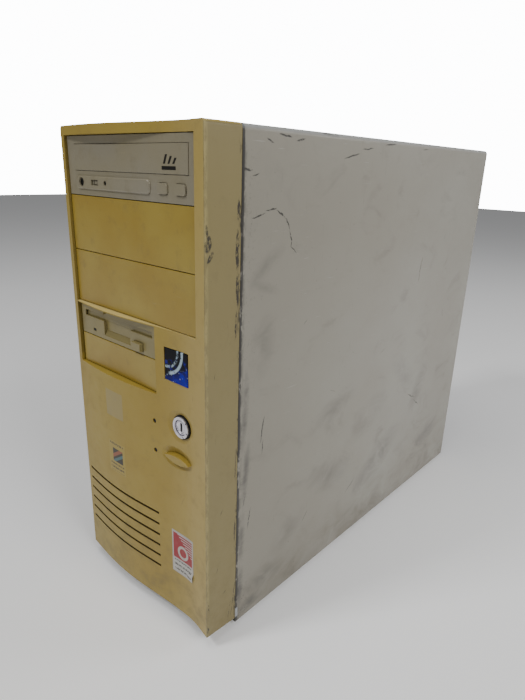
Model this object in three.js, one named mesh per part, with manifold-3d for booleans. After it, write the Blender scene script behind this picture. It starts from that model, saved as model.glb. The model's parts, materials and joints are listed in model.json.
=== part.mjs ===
// A mini-tower desktop computer: a moulded front bezel with a gently curved face, drives and blanks in
// its bays, a one-piece steel cover, and the chassis, power supply, drives and boards that it encloses.
// Millimetres. +X is to the right as the front is seen, +Y to the back, +Z up. The origin is on the
// floor, at the middle of the tower's width and depth.
import * as THREE from 'three';
import { mergeVertices } from 'three/addons/utils/BufferGeometryUtils.js';
import Module from 'manifold-3d';

const wasm = await Module();
wasm.setup();

// ---------------------------------------------------------------- driving dimensions
const caseWidth = 166;
const bodyHeight = 385; // the cover's lower edge to its top
const overallDepth = 434; // the bezel's crest to the rear sockets' faces
const footHeight = 4; // the cover's lower edge above the floor
const gap = 0.3; // between two pieces that touch
const sheet = 1; // steel sheet

// the bezel
const bezelDepth = 27; // the drive faces to the seam with the cover
const bezelWall = 2.5;
const bulgeDepth = 6; // the face's crest, in front of the drive faces
const crestFromLeft = 56;
const dipFromRight = 23; // the face's dip, level with the drive faces
const leftEdgeDepth = 1.5;
const rightEdgeDepth = 4.3;
const bezelCorner = 3;
const bezelLift = 2.4; // the bezel's lower rear edge above the cover's
const bezelRise = 5; // the bezel's lower front edge above its rear edge
const leftRail = 6; // the bay openings' left edge from the bezel's side
const topRail = 7; // the upper bay's ceiling below the bezel's top
const grilleSlots = 6;
const grillePitch = 10.4;
const grilleHeight = 2;
const grilleWidth = 102;
const grilleInset = 5;
const grilleBottom = 44.5; // the lowest slot above the floor

// the drive bays
const bayWidth = 148;
const bayPitch = 42.3;
const bayCount = 3;
const bayStep = 1.4; // the shelf between the wide bays and the small ones
const smallBayWidth = 101.5;
const smallBayPitch = 25.8;
const smallBayInset = 1.5;
const driveWidth = 146;
const driveHeight = 41.3;
const opticalDepth = 198;
const smallDriveWidth = 101.6;
const smallDriveHeight = 25.3;
const floppyDepth = 142;
const diskDepth = 147; // the hard disk
const diskBayDrop = 30; // the hard disk's bottom below the small bays' floor
const driveInset = 5; // a drive's body behind its bezel's face

// the controls, measured from the bezel's right side and down from the small bays' floor
const lockFromRight = 31;
const lockDrop = 19.1;
const lockRadius = 9.2;
const barrelRadius = 5.8;
const powerFromRight = 34.5;
const powerDrop = 46.5;
const powerLength = 28.5;
const powerThickness = 6.4;
const powerProud = 3;
const lampFromRight = 60;
const lampDrops = { disk_lamp: 23, power_lamp: 48 };
const lampRadius = 1.6;
const badgeFromRight = 34.5;
const badgeDrop = 24.7; // the badge's middle below the small bays' ceiling
const badgeWidth = 25;
const badgeTall = 24.5;
const badgeThickness = 1.4;

// the cover and the chassis
const coverCorner = 4;
const hem = 9; // the cover's lower and rear flanges
const rearReach = 5; // sockets behind the rear panel
const flange = 12; // the chassis sheets' folded edges

// the power supply
const supplyWidth = 150;
const supplyHeight = 86;
const supplyDepth = 140;
const fanSize = 80;
const fanRim = 3; // the fan frame's edge outside its bore
const fanDepth = 25;
const selectorTravel = 4;
const selectorSpan = 9; // half the selector's slot

// the boards
const boardThickness = 1.6;
const boardSize = 244;
const boardStandoff = 6.4;
const slotPitch = 20.32;
const slotCount = 5;
const boardSlots = 4;
const lowestSlot = 38.7; // the lowest slot's middle above the floor
const bracketLength = 120;
const bracketWidth = 18.4;
const slotOpening = 12.7;
const slotReach = 107;
const openSlots = [2, 4]; // the others keep their punched blanks
const ioHeight = 158.8;
const ioWidth = 44.5;

// the rear screws
const screwHead = 4.2;
const screwShank = 1.5;
const screwHole = 1.9;
const screwRise = 54; // the lower screws above the cover's lower edge

// ---------------------------------------------------------------- derived planes
const left = -caseWidth / 2;
const right = caseWidth / 2;
const bottom = footHeight;
const top = footHeight + bodyHeight;
const driveFace = -overallDepth / 2 + bulgeDepth;
const seam = driveFace + bezelDepth;
const coverFront = seam + gap;
const coverRear = overallDepth / 2 - rearReach;
const rearOuter = coverRear - sheet - gap; // the rear panel's outer face
const rearInner = rearOuter - sheet;
const innerLeft = left + sheet + gap; // the chassis's own sides
const innerRight = right - sheet - gap;
const floorLow = bottom + sheet + gap; // the base pan's underside
const floorHigh = floorLow + sheet;
const ceiling = top - sheet - gap;
const frontLow = seam + 2; // the chassis's front plate
const frontHigh = frontLow + sheet;
const bezelBottom = bottom + bezelLift;
const bayLeft = left + leftRail;
const bayRight = bayLeft + bayWidth;
const bayTop = top - topRail;
const bayFloor = bayTop - bayCount * bayPitch;
const smallLeft = bayLeft + smallBayInset;
const smallRight = smallLeft + smallBayWidth;
const smallTop = bayFloor - bayStep;
const smallFloor = smallTop - 2 * smallBayPitch;

// ---------------------------------------------------------------- solids
const AXIS = {
  x: new THREE.Matrix4().makeBasis(new THREE.Vector3(0, 1, 0), new THREE.Vector3(0, 0, 1),
    new THREE.Vector3(1, 0, 0)),
  y: new THREE.Matrix4().makeBasis(new THREE.Vector3(0, 0, 1), new THREE.Vector3(1, 0, 0),
    new THREE.Vector3(0, 1, 0)),
  z: new THREE.Matrix4(),
};

// A closed three.js geometry as a solid that can be joined and cut.
function solid(geometry) {
  const bare = geometry.clone();
  bare.deleteAttribute('normal');
  bare.deleteAttribute('uv');
  const merged = mergeVertices(bare, 1e-4);
  return new wasm.Manifold(new wasm.Mesh({
    numProp: 3,
    vertProperties: new Float32Array(merged.attributes.position.array),
    triVerts: new Uint32Array(merged.index.array),
  }));
}

function box(x0, x1, y0, y1, z0, z1) {
  const geometry = new THREE.BoxGeometry(x1 - x0, y1 - y0, z1 - z0);
  geometry.translate((x0 + x1) / 2, (y0 + y1) / 2, (z0 + z1) / 2);
  return solid(geometry);
}

// An outline pushed along an axis. Its two numbers run along the next two axes: Y, Z for x; Z, X for y;
// X, Y for z.
function push(axis, outline, from, to) {
  const geometry = new THREE.ExtrudeGeometry(outline,
    { depth: to - from, bevelEnabled: false, curveSegments: 6 });
  geometry.translate(0, 0, from);
  geometry.applyMatrix4(AXIS[axis]);
  return solid(geometry);
}

function outlineOf(points) {
  return new THREE.Shape(points.map(([u, v]) => new THREE.Vector2(u, v)));
}

// A round bar along an axis, centred on the two numbers that run along the next two axes.
function bar(axis, radius, from, to, u, v, sides = 20) {
  const geometry = new THREE.CylinderGeometry(radius, radius, to - from, sides);
  geometry.rotateX(Math.PI / 2);
  geometry.translate(u, v, (from + to) / 2);
  geometry.applyMatrix4(AXIS[axis]);
  return solid(geometry);
}

function roundedOutline(u0, u1, v0, v1, r) {
  const s = new THREE.Shape();
  s.moveTo(u0 + r, v0);
  s.lineTo(u1 - r, v0);
  s.absarc(u1 - r, v0 + r, r, -Math.PI / 2, 0, false);
  s.lineTo(u1, v1 - r);
  s.absarc(u1 - r, v1 - r, r, 0, Math.PI / 2, false);
  s.lineTo(u0 + r, v1);
  s.absarc(u0 + r, v1 - r, r, Math.PI / 2, Math.PI, false);
  s.lineTo(u0, v0 + r);
  s.absarc(u0 + r, v0 + r, r, Math.PI, Math.PI * 1.5, false);
  return s;
}

function joined(pieces) {
  return pieces.reduce((whole, piece) => whole.add(piece));
}

function cutBy(body, cutters) {
  return cutters.reduce((rest, cutter) => rest.subtract(cutter), body);
}

// A round lead along a smooth path through its points.
function lead(points, radius, steps, sides = 8) {
  const path = new THREE.CatmullRomCurve3(points.map((p) => new THREE.Vector3(...p)), false, 'centripetal');
  const section = new THREE.Shape();
  for (let i = 0; i < sides; i += 1) {
    const a = (2 * Math.PI * i) / sides;
    section[i ? 'lineTo' : 'moveTo'](radius * Math.cos(a), radius * Math.sin(a));
  }
  return solid(new THREE.ExtrudeGeometry(section, { extrudePath: path, steps, bevelEnabled: false }));
}

// A band of even thickness along an open line, as an outline.
function bandOutline(points, thickness) {
  const line = points.map(([u, v]) => new THREE.Vector2(u, v));
  const half = thickness / 2;
  const sides = [1, -1].map((side) => line.map((p, i) => {
    const before = line[Math.max(i - 1, 0)];
    const after = line[Math.min(i + 1, line.length - 1)];
    const a = i ? p.clone().sub(before).normalize() : after.clone().sub(p).normalize();
    const b = i < line.length - 1 ? after.clone().sub(p).normalize() : a;
    const along = a.clone().add(b).normalize();
    const reach = half / Math.max(along.dot(a), 0.5);
    return new THREE.Vector2(p.x - along.y * reach * side, p.y + along.x * reach * side);
  }));
  return new THREE.Shape([...sides[1], ...sides[0].reverse()]);
}

const model = new THREE.Group();

function part(name, shape, colour, roughness, metalness) {
  const { vertProperties, triVerts } = shape.getMesh();
  const geometry = new THREE.BufferGeometry();
  geometry.setAttribute('position', new THREE.BufferAttribute(new Float32Array(vertProperties), 3));
  geometry.setIndex([...triVerts]);
  const flat = geometry.toNonIndexed();
  flat.computeVertexNormals();
  const mesh = new THREE.Mesh(flat,
    new THREE.MeshStandardMaterial({ color: colour, roughness, metalness }));
  mesh.name = name;
  model.add(mesh);
}

const YELLOWED = '#a8966a';
const BEIGE = '#b3a98f';
const ZINC = '#9fa3a5';
const STEEL = '#b4b5b3';
const DARK = '#1d1e20';
const RESIN = '#1f5a35';
const GREY = '#8b8d90';

// ---------------------------------------------------------------- the front bezel
// How far the face stands in front of the drive faces at x.
function faceDepth(x) {
  const crest = left + crestFromLeft;
  const dip = right - dipFromRight;
  if (x < crest) {
    const t = (x - left) / crestFromLeft;
    return leftEdgeDepth + (bulgeDepth - leftEdgeDepth) * Math.sin((Math.PI / 2) * t);
  }
  if (x < dip) return bulgeDepth * 0.5 * (1 + Math.cos(Math.PI * ((x - crest) / (dip - crest))));
  return rightEdgeDepth * ((x - dip) / dipFromRight) ** 1.2;
}

// The bezel's plan, set in from its outer faces by a wall, pushed from z0 to z1.
function bezelBlock(inset, back, z0, z1) {
  const steps = 26;
  const front = [];
  for (let i = 0; i <= steps; i += 1) {
    const x = left + inset + ((caseWidth - 2 * inset) * i) / steps;
    front.push([x, driveFace - faceDepth(x) + inset]);
  }
  return push('z', outlineOf([...front, [right - inset, back], [left + inset, back]]), z0, z1);
}

const lockX = right - lockFromRight;
const lockHeight = smallFloor - lockDrop;
const powerHeight = smallFloor - powerDrop;
const badgeHeight = smallTop - badgeDrop;
const lampHeights = {
  disk_lamp: smallFloor - lampDrops.disk_lamp,
  power_lamp: smallFloor - lampDrops.power_lamp,
};
const powerX = right - powerFromRight;
const lampX = right - lampFromRight;
const badgeX = right - badgeFromRight;
const collarBack = seam - 13;
const collarWall = 1.8;
const dishRadius = lockRadius + 4;
const dishDepth = 2.4;
const powerDishHeight = 17.4;
const powerSeat = driveFace - faceDepth(powerX);
const lockSeat = driveFace - faceDepth(lockX);

// A lens between two equal arcs, as an outline of Z, X.
function lensOutline(x, z, length, thickness) {
  const sagitta = thickness / 2;
  const radius = ((length / 2) ** 2 + sagitta ** 2) / (2 * sagitta);
  const reach = Math.asin(length / 2 / radius);
  const steps = 10;
  const points = [];
  for (const side of [1, -1]) {
    for (let i = 0; i < steps; i += 1) {
      const a = reach - (2 * reach * i) / steps;
      points.push([z + side * (radius * Math.cos(a) - radius + sagitta), x + side * radius * Math.sin(a)]);
    }
  }
  return outlineOf(points);
}

// A shallow bowl sunk in the face at x, z: a flattened ball whose middle stands in front of the face.
function bowl(x, seat, z, halfWidth, halfHeight, depth) {
  const stand = 0.8; // how far in front the ball's middle stands, as a share of its radius
  const rim = Math.sqrt(1 - stand ** 2);
  const radius = depth / (1 - stand);
  const ball = new THREE.SphereGeometry(1, 48, 32);
  ball.scale(halfWidth / rim, radius, halfHeight / rim);
  ball.translate(x, seat - stand * radius, z);
  return solid(ball);
}

function frontBezel() {
  const high = top;
  const behind = seam + 1;
  let body = bezelBlock(0, seam, bezelBottom, high);
  const corners = roundedOutline(bezelBottom, high, left, right, bezelCorner);
  body = body.intersect(push('y', corners, driveFace - bulgeDepth - 1, behind));
  const underside = outlineOf([
    [driveFace - bulgeDepth - 1, bottom - 1],
    [seam, bottom - 1],
    [seam, bezelBottom],
    [seam - 6, bezelBottom + bezelRise / 2],
    [driveFace - bulgeDepth - 1, bezelBottom + bezelRise],
  ]);
  body = body.subtract(push('x', underside, left - 1, right + 1));
  const hollowFloor = bezelBottom + bezelRise + bezelWall;
  body = body.subtract(bezelBlock(bezelWall, behind, hollowFloor, high - bezelWall));
  const collar = bezelBlock(bezelWall / 2, collarBack, smallFloor - gap - collarWall, high - 1);
  const collarSpan = box(left, bayRight + gap + collarWall, driveFace - 20, collarBack, 0, high);
  body = body.add(collar.intersect(collarSpan));
  const boss = joined([
    bar('y', dishRadius + 2, lockSeat + 1, lockSeat + dishDepth + bezelWall, lockHeight, lockX, 28),
    bar('y', powerLength / 2 + 3, powerSeat + 1, powerSeat + dishDepth + bezelWall, powerHeight, powerX,
      28),
    bar('y', lampRadius + 2, driveFace - 1, driveFace + 5, lampHeights.disk_lamp, lampX, 12),
    bar('y', lampRadius + 2, driveFace - 1, driveFace + 5, lampHeights.power_lamp, lampX, 12),
    box(badgeX - badgeWidth / 2 - 2, badgeX + badgeWidth / 2 + 2, driveFace, driveFace + 3,
      badgeHeight - badgeTall / 2 - 2, badgeHeight + badgeTall / 2 + 2),
  ]);
  body = body.add(boss);
  const near = driveFace - bulgeDepth - 2;
  const cuts = [
    box(bayLeft - gap, bayRight + gap, near, behind, bayFloor - gap, bayTop + gap),
    box(smallLeft - smallBayInset - gap, smallRight + gap, near, behind, smallFloor - gap, smallTop + gap),
    bowl(lockX, lockSeat, lockHeight, dishRadius, dishRadius, dishDepth),
    bar('y', lockRadius + gap, near, lockSeat + dishDepth, lockHeight, lockX, 28),
    bar('y', lockRadius - 1.5 + gap, near, behind, lockHeight, lockX, 20),
    bowl(powerX, powerSeat, powerHeight, powerLength / 2 + 1, powerDishHeight / 2, dishDepth),
    push('y', lensOutline(powerX, powerHeight, powerLength + 2 * gap, powerThickness + 2 * gap), near,
      behind),
    ...Object.values(lampHeights).map((z) => bar('y', lampRadius + gap, near, behind, z, lampX, 12)),
    box(badgeX - badgeWidth / 2 - gap, badgeX + badgeWidth / 2 + gap, near, driveFace + 1,
      badgeHeight - badgeTall / 2 - gap, badgeHeight + badgeTall / 2 + gap),
  ];
  for (let i = 0; i < grilleSlots; i += 1) {
    const z = grilleBottom + i * grillePitch;
    cuts.push(box(left + grilleInset, left + grilleInset + grilleWidth, near, seam - 10,
      z - grilleHeight / 2, z + grilleHeight / 2));
  }
  return cutBy(body, cuts);
}
part('front_bezel', frontBezel(), YELLOWED, 0.55, 0);

// ---------------------------------------------------------------- blanks, badge, lamps
const blankReturn = 12;
const blankWall = 2;

// A hollow-backed blanking plate with its returns.
function blank(x0, x1, z0, z1) {
  const shell = box(x0 + gap, x1 - gap, driveFace, driveFace + blankReturn, z0 + gap, z1 - gap);
  return shell.subtract(box(x0 + gap + blankWall, x1 - gap - blankWall, driveFace + blankWall,
    driveFace + blankReturn + 1, z0 + gap + blankWall, z1 - gap - blankWall));
}
const bayZ = (n) => bayTop - n * bayPitch; // the floor of wide bay n, counted from 1 at the top
part('upper_blank', blank(bayLeft, bayRight, bayZ(2), bayZ(1)), YELLOWED, 0.55, 0);
part('lower_blank', blank(bayLeft, bayRight, bayZ(3), bayZ(2)), YELLOWED, 0.55, 0);
part('small_blank', blank(smallLeft, smallRight, smallFloor, smallTop - smallBayPitch), YELLOWED, 0.55, 0);
part('case_badge', box(badgeX - badgeWidth / 2, badgeX + badgeWidth / 2,
  driveFace + 1 - gap - badgeThickness,
  driveFace + 1 - gap, badgeHeight - badgeTall / 2, badgeHeight + badgeTall / 2), '#14148c', 0.25, 0);
for (const [name, z] of Object.entries(lampHeights)) {
  const lens = bar('y', lampRadius, driveFace + 2, driveFace + 9, z, lampX, 12);
  const rim = bar('y', lampRadius + 0.8, driveFace + 5 + gap, driveFace + 9, z, lampX, 12);
  part(name, lens.add(rim), '#33402a', 0.3, 0);
}

// ---------------------------------------------------------------- the power button and its switch
const switchTravel = 2;
const bossBack = powerSeat + dishDepth + bezelWall;
const buttonBack = bossBack + 6;
function powerButton() {
  const cap = push('y', lensOutline(powerX, powerHeight, powerLength, powerThickness),
    powerSeat - powerProud, buttonBack);
  const shoulder = box(powerX - powerLength / 2 - 1.5, powerX + powerLength / 2 + 1.5, bossBack + gap,
    bossBack + 2.5,
    powerHeight - 5, powerHeight + 5);
  const stem = bar('y', 2, buttonBack - 1, buttonBack + 5, powerHeight, powerX, 10);
  return joined([cap, shoulder, stem]);
}
part('power_button', powerButton(), YELLOWED, 0.5, 0);
const plungerFront = buttonBack + 5 + switchTravel + gap;
part('power_switch', joined([
  bar('y', 2.5, plungerFront, plungerFront + 3, powerHeight, powerX, 10),
  box(powerX - 6, powerX + 6, plungerFront + 2, frontHigh + 8, powerHeight - 6, powerHeight + 6),
]), DARK, 0.6, 0);

// ---------------------------------------------------------------- the key lock
const lockBack = frontHigh + 6;
function lockHousing() {
  const rim = bar('y', lockRadius, lockSeat - 0.4, lockSeat + dishDepth - gap, lockHeight, lockX, 28);
  const sleeve = bar('y', lockRadius - 1.5, lockSeat + 1, lockBack, lockHeight, lockX, 20);
  return joined([rim, sleeve]).subtract(bar('y', barrelRadius + gap, lockSeat - 1, lockBack + 1,
    lockHeight, lockX, 20));
}
function lockBarrel() {
  const plug = bar('y', barrelRadius, lockSeat - 0.2, lockBack - 1, lockHeight, lockX, 20);
  const keyway = box(lockX - 0.9, lockX + 0.9, lockSeat - 1, lockSeat + 12, lockHeight - 3.4,
    lockHeight + 3.4);
  const cam = box(lockX - 3, lockX + 3, lockBack - 1.5, lockBack + 2.5, lockHeight - 3, lockHeight + 3);
  const arm = box(lockX - 3, lockX + 3, lockBack + gap + 0.4, lockBack + 2.5, lockHeight - 3,
    lockHeight + 14);
  return joined([plug, cam, arm]).subtract(keyway);
}
part('lock_housing', lockHousing(), '#c4c4c8', 0.3, 0.9);
part('lock_barrel', lockBarrel(), '#b9b9be', 0.35, 0.9);

// ---------------------------------------------------------------- the cover
function uCover() {
  const outer = new THREE.Shape();
  const inner = new THREE.Shape();
  for (const [s, w, r] of [[outer, 0, coverCorner], [inner, sheet, coverCorner - sheet]]) {
    s.moveTo(top - w - r, right - w);
    s.absarc(top - w - r, right - w - r, r, Math.PI / 2, 0, true);
    s.lineTo(top - w, left + w + r);
    s.absarc(top - w - r, left + w + r, r, 0, -Math.PI / 2, true);
    s.lineTo(bottom + w, left + w);
    s.lineTo(bottom + w, right - w);
  }
  let body = push('y', outer, coverFront, coverRear);
  body = body.subtract(push('y', inner, coverFront - 1, coverRear - sheet));
  const open = box(left + hem, right - hem, coverFront - 1, coverRear + 1, bottom - 1,
    bottom + sheet + 0.5);
  const rearOpen = box(left + hem, right - hem, coverRear - sheet - 1, coverRear + 1, bottom - 1,
    top - hem);
  return cutBy(body, [open, rearOpen, ...screwHoles(coverRear - sheet - 1, coverRear + 1)]);
}

const screwX = hem / 2 + 1;
const screwPlaces = {
  cover_screw_left_low: [left + screwX, bottom + screwRise],
  cover_screw_left_high: [left + screwX, top - topRail - supplyHeight - 12],
  cover_screw_right_low: [right - screwX, bottom + screwRise],
  cover_screw_right_high: [right - screwX, top - topRail - supplyHeight - 12],
};
function screwHoles(from, to) {
  return Object.values(screwPlaces).map(([x, z]) => bar('y', screwHole, from, to, z, x, 10));
}
part('cover', uCover(), STEEL, 0.5, 0.35);
for (const [name, [x, z]] of Object.entries(screwPlaces)) {
  const head = bar('y', screwHead, coverRear + gap, coverRear + 2.4, z, x, 12);
  const shank = bar('y', screwShank, rearInner - 4, coverRear + 1, z, x, 8);
  part(name, head.add(shank), '#c9c9c6', 0.35, 0.9);
}

// ---------------------------------------------------------------- the chassis
function basePan() {
  const shell = box(innerLeft, innerRight, frontHigh + gap, rearInner - gap, floorLow, floorLow + flange);
  const hollow = box(innerLeft + sheet, innerRight - sheet, frontLow, rearInner, floorHigh,
    floorLow + flange + 1);
  return shell.subtract(hollow);
}
part('base_pan', basePan(), ZINC, 0.45, 0.8);

function frontPlate() {
  const plate = push('y', roundedOutline(floorLow, ceiling, innerLeft, innerRight, coverCorner), frontLow,
    frontHigh);
  const near = frontLow - 1;
  const far = frontHigh + 1;
  const cuts = [
    box(bayLeft - 1, bayRight + 1, near, far, bayFloor, bayTop),
    box(smallLeft - 1, smallRight + 1, near, far, smallFloor - diskBayDrop - 2, bayFloor + 1),
    bar('y', lockRadius, near, far, lockHeight, lockX, 20),
    box(powerX - 8, powerX + 8, near, far, powerHeight - 8, powerHeight + 8),
    box(lampX - 4, lampX + 4, near, far, lampHeights.power_lamp - 4, lampHeights.disk_lamp + 4),
  ];
  for (let i = 0; i < grilleSlots; i += 2) {
    const z = grilleBottom + i * grillePitch;
    cuts.push(box(left + grilleInset + 12, left + grilleInset + grilleWidth - 6, near, far, z - 3, z + 5));
  }
  return cutBy(plate, cuts);
}
part('front_plate', frontPlate(), ZINC, 0.45, 0.8);

const supplyLeft = innerLeft + 4;
const supplyRight = supplyLeft + supplyWidth;
const supplyTop = ceiling - 4;
const supplyLow = supplyTop - supplyHeight;
const supplyBack = rearInner - gap;
const supplyFront = supplyBack - supplyDepth;
const fanRadius = fanSize / 2 - fanRim;
const fanX = supplyLeft + 52;
const fanZ = supplyLow + supplyHeight / 2;
const inletX = supplyRight - 28;
const inletZ = supplyTop - 20;
const selectorZ = supplyLow + 18;

const slotZ = (n) => lowestSlot + n * slotPitch;
const boardFace = innerRight - sheet - boardStandoff - boardThickness - 2 * gap; // faces -X
const bracketRight = innerRight - sheet - 4;
const bracketLeft = bracketRight - bracketLength;
const ioLow = slotZ(slotCount - 1) + slotPitch / 2 + 2;
const ioLeft = boardFace - ioWidth + 5;

function rearPanel() {
  const plate = push('y', roundedOutline(floorLow, ceiling, innerLeft, innerRight, coverCorner),
    rearInner, rearOuter);
  const near = rearInner - 1;
  const far = rearOuter + 1;
  const cuts = [
    box(supplyLeft + 3, supplyRight - 3, near, far, supplyLow + 3, supplyTop - 3),
    box(ioLeft, ioLeft + ioWidth, near, far, ioLow, ioLow + ioHeight),
    ...screwHoles(near, far),
  ];
  for (const i of openSlots) {
    cuts.push(box(bracketRight - 5 - slotReach, bracketRight - 5, near, far, slotZ(i) - slotOpening / 2,
      slotZ(i) + slotOpening / 2));
  }
  const ventRows = 5;
  for (let i = 0; i < ventRows; i += 1) {
    const z = ioLow + 40 + i * 9;
    cuts.push(box(innerLeft + 16, ioLeft - 16, near, far, z - 2.2, z + 2.2));
  }
  return cutBy(plate, cuts);
}
part('rear_panel', rearPanel(), ZINC, 0.45, 0.8);

const trayLow = floorLow + flange + 2;
const trayHigh = supplyLow - 3;
const boardLow = ioLow + ioHeight - boardSize - 1;
const boardBack = rearInner - 2;
const boardFront = boardBack - boardSize;
function boardTray() {
  const plate = box(innerRight - sheet, innerRight, boardFront - 6, rearInner - gap, trayLow, trayHigh);
  const bumps = [];
  for (const y of [boardFront + 12, (boardFront + boardBack) / 2, boardBack - 12]) {
    for (const z of [boardLow + 12, boardLow + boardSize - 12]) {
      bumps.push(bar('x', 4, innerRight - sheet - boardStandoff, innerRight - sheet / 2, y, z, 10));
    }
  }
  return joined([plate, ...bumps]);
}
part('board_tray', boardTray(), ZINC, 0.45, 0.8);

// ---------------------------------------------------------------- drive cages
const bodyLeft = (bayLeft + bayRight - driveWidth) / 2;
const bodyRight = bodyLeft + driveWidth;
const cageFront = frontHigh + gap;
const cageBack = driveFace + 176;
const smallBodyLeft = (smallLeft + smallRight - smallDriveWidth) / 2;
const smallBodyRight = smallBodyLeft + smallDriveWidth;
const diskLow = smallFloor - diskBayDrop;
const wideCageTop = ceiling;

// The wide bays' cage: two windowed side plates under a top plate.
function wideCage() {
  const low = bayFloor + 1;
  const shell = box(bodyLeft - gap - sheet, bodyRight + gap + sheet, cageFront, cageBack, low, wideCageTop);
  const hollow = box(bodyLeft - gap, bodyRight + gap, cageFront - 1, cageBack + 1, low - 1,
    wideCageTop - sheet);
  const windows = [];
  for (let n = 1; n <= bayCount; n += 1) {
    windows.push(box(left, right, cageFront + 30, cageFront + 38, bayZ(n) + 8, bayZ(n) + 30));
    windows.push(box(left, right, cageFront + 100, cageFront + 108, bayZ(n) + 8, bayZ(n) + 30));
  }
  return cutBy(shell, [hollow, ...windows]);
}
part('wide_drive_cage', wideCage(), ZINC, 0.45, 0.8);

// The small bays' cage: a channel open at the top, with shelves folded in for each drive.
function smallCage() {
  const high = bayFloor - 0.5;
  const low = diskLow - gap - sheet;
  const shell = box(smallBodyLeft - gap - sheet, smallBodyRight + gap + sheet, cageFront, cageBack, low,
    high);
  const hollow = box(smallBodyLeft - gap, smallBodyRight + gap, cageFront - 1, cageBack + 1,
    diskLow - gap, high + 1);
  const windows = [];
  for (const z of [diskLow + 6, smallFloor + 6, smallFloor + smallBayPitch + 6]) {
    windows.push(box(left, right, cageFront + 24, cageFront + 32, z, z + 10));
    windows.push(box(left, right, cageFront + 90, cageFront + 98, z, z + 10));
  }
  return cutBy(shell, [hollow, ...windows]);
}
part('small_drive_cage', smallCage(), ZINC, 0.45, 0.8);

// ---------------------------------------------------------------- the optical drive
const opticalLow = bayZ(1) + (bayPitch - driveHeight) / 2;
const opticalHigh = opticalLow + driveHeight;
const bodyFront = driveFace + driveInset;
const doorLow = opticalLow + 17.5;
const doorHigh = opticalLow + 35.8;
const doorLeft = bayLeft + 10;
const doorRight = bayLeft + 141.5;
const discRadius = 60;
const skin = 1.2;
const opticalButtons = { eject_button: bayLeft + 133.8, play_button: bayLeft + 115.8 };
const opticalButtonZ = opticalLow + 8.5;
const buttonWide = 10.6;
const buttonTall = 7;
const wheelX = bayLeft + 37.2;
const wheelZ = opticalLow + 9.3;
const wheelRadius = 6;
const jackX = bayLeft + 19.3;

function opticalBody() {
  const shell = box(bodyLeft, bodyRight, bodyFront, driveFace + opticalDepth, opticalLow, opticalHigh);
  return shell.subtract(box(bodyLeft + skin, bodyRight - skin, bodyFront - 1,
    driveFace + opticalDepth - skin,
    opticalLow + skin, opticalHigh - skin));
}
part('optical_drive_body', opticalBody(), GREY, 0.35, 0.85);

function opticalBezel() {
  const z0 = bayZ(1) + gap;
  const z1 = bayTop - gap;
  const back = bodyFront - gap;
  const face = box(bayLeft + gap, bayRight - gap, driveFace, back, z0, z1);
  const far = back + 1;
  const cuts = [
    box(doorLeft - gap, doorRight + gap, driveFace - 1, far, doorLow - gap, doorHigh + gap),
    bar('y', 2.6, driveFace - 1, far, wheelZ, jackX, 12),
    box(wheelX - 4.6, wheelX + 4.6, driveFace - 1, far, wheelZ - 1.9, wheelZ + 1.9),
    bar('y', 0.8, driveFace - 1, far, wheelZ, bayLeft + 51, 8),
    bar('z', wheelRadius + 0.6, wheelZ - 1.9, wheelZ + 1.9, wheelX, driveFace + wheelRadius - 0.5, 20),
  ];
  for (const x of Object.values(opticalButtons)) {
    cuts.push(push('y', roundedOutline(opticalButtonZ - buttonTall / 2 - gap,
      opticalButtonZ + buttonTall / 2 + gap,
      x - buttonWide / 2 - gap, x + buttonWide / 2 + gap, 2.5), driveFace - 1, far));
  }
  return cutBy(face, cuts);
}
part('optical_bezel', opticalBezel(), BEIGE, 0.5, 0);

const trayBack = driveFace + 172;
function discTray() {
  const bed = box(doorLeft + 2, doorRight - 2, bodyFront + 1, trayBack, doorLow + 3, doorLow + 11);
  const middle = (doorLeft + doorRight) / 2;
  const discY = bodyFront + 6 + discRadius;
  const slit = box(middle - 18, middle + 18, discY - 18, trayBack - 22, doorLow, doorHigh);
  return cutBy(bed, [
    bar('z', discRadius + 0.5, doorLow + 8.8, doorHigh, middle, discY, 40),
    slit,
  ]);
}
part('disc_tray', discTray(), DARK, 0.5, 0);
part('tray_door', joined([
  box(doorLeft, doorRight, driveFace - 0.5, bodyFront - 1.2, doorLow, doorHigh),
  box(doorLeft + 8, doorRight - 8, bodyFront - 1.5, bodyFront + 1 - gap, doorLow + 3, doorLow + 11),
]), BEIGE, 0.5, 0);

for (const [name, x] of Object.entries(opticalButtons)) {
  const cap = push('y', roundedOutline(opticalButtonZ - buttonTall / 2, opticalButtonZ + buttonTall / 2,
    x - buttonWide / 2, x + buttonWide / 2, 2.2), driveFace - 1.2, bodyFront + 3);
  const lip = box(x - buttonWide / 2 - 1.2, x + buttonWide / 2 + 1.2, bodyFront, bodyFront + 3,
    opticalButtonZ - buttonTall / 2 - 1.2, opticalButtonZ + buttonTall / 2 + 1.2);
  part(name, cap.add(lip), BEIGE, 0.45, 0);
}
part('volume_wheel', bar('z', wheelRadius, wheelZ - 1.5, wheelZ + 1.5, wheelX,
  driveFace + wheelRadius - 0.5, 20), DARK, 0.6, 0);

// ---------------------------------------------------------------- the floppy drive
const floppyLow = smallFloor + smallBayPitch + (smallBayPitch - smallDriveHeight) / 2;
const floppyHigh = floppyLow + smallDriveHeight;
const slotMid = floppyLow + 17.8;
const slotTall = 4.8;
const slotLeft = smallLeft + 5.8;
const slotRight = smallLeft + 96.4;
const slotDepth = 100;
const scoopLeft = smallLeft + 33;
const scoopRight = smallLeft + 68.5;
const scoopDepth = 2.6;
const flapInset = 2.1; // the flap behind the drive's face, in a pocket of the bezel
const flapThickness = 1;
const ejectX = smallLeft + 79.2;
const ejectZ = floppyLow + 5.6;
const ejectWide = 11;
const ejectTall = 6.2;

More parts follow.
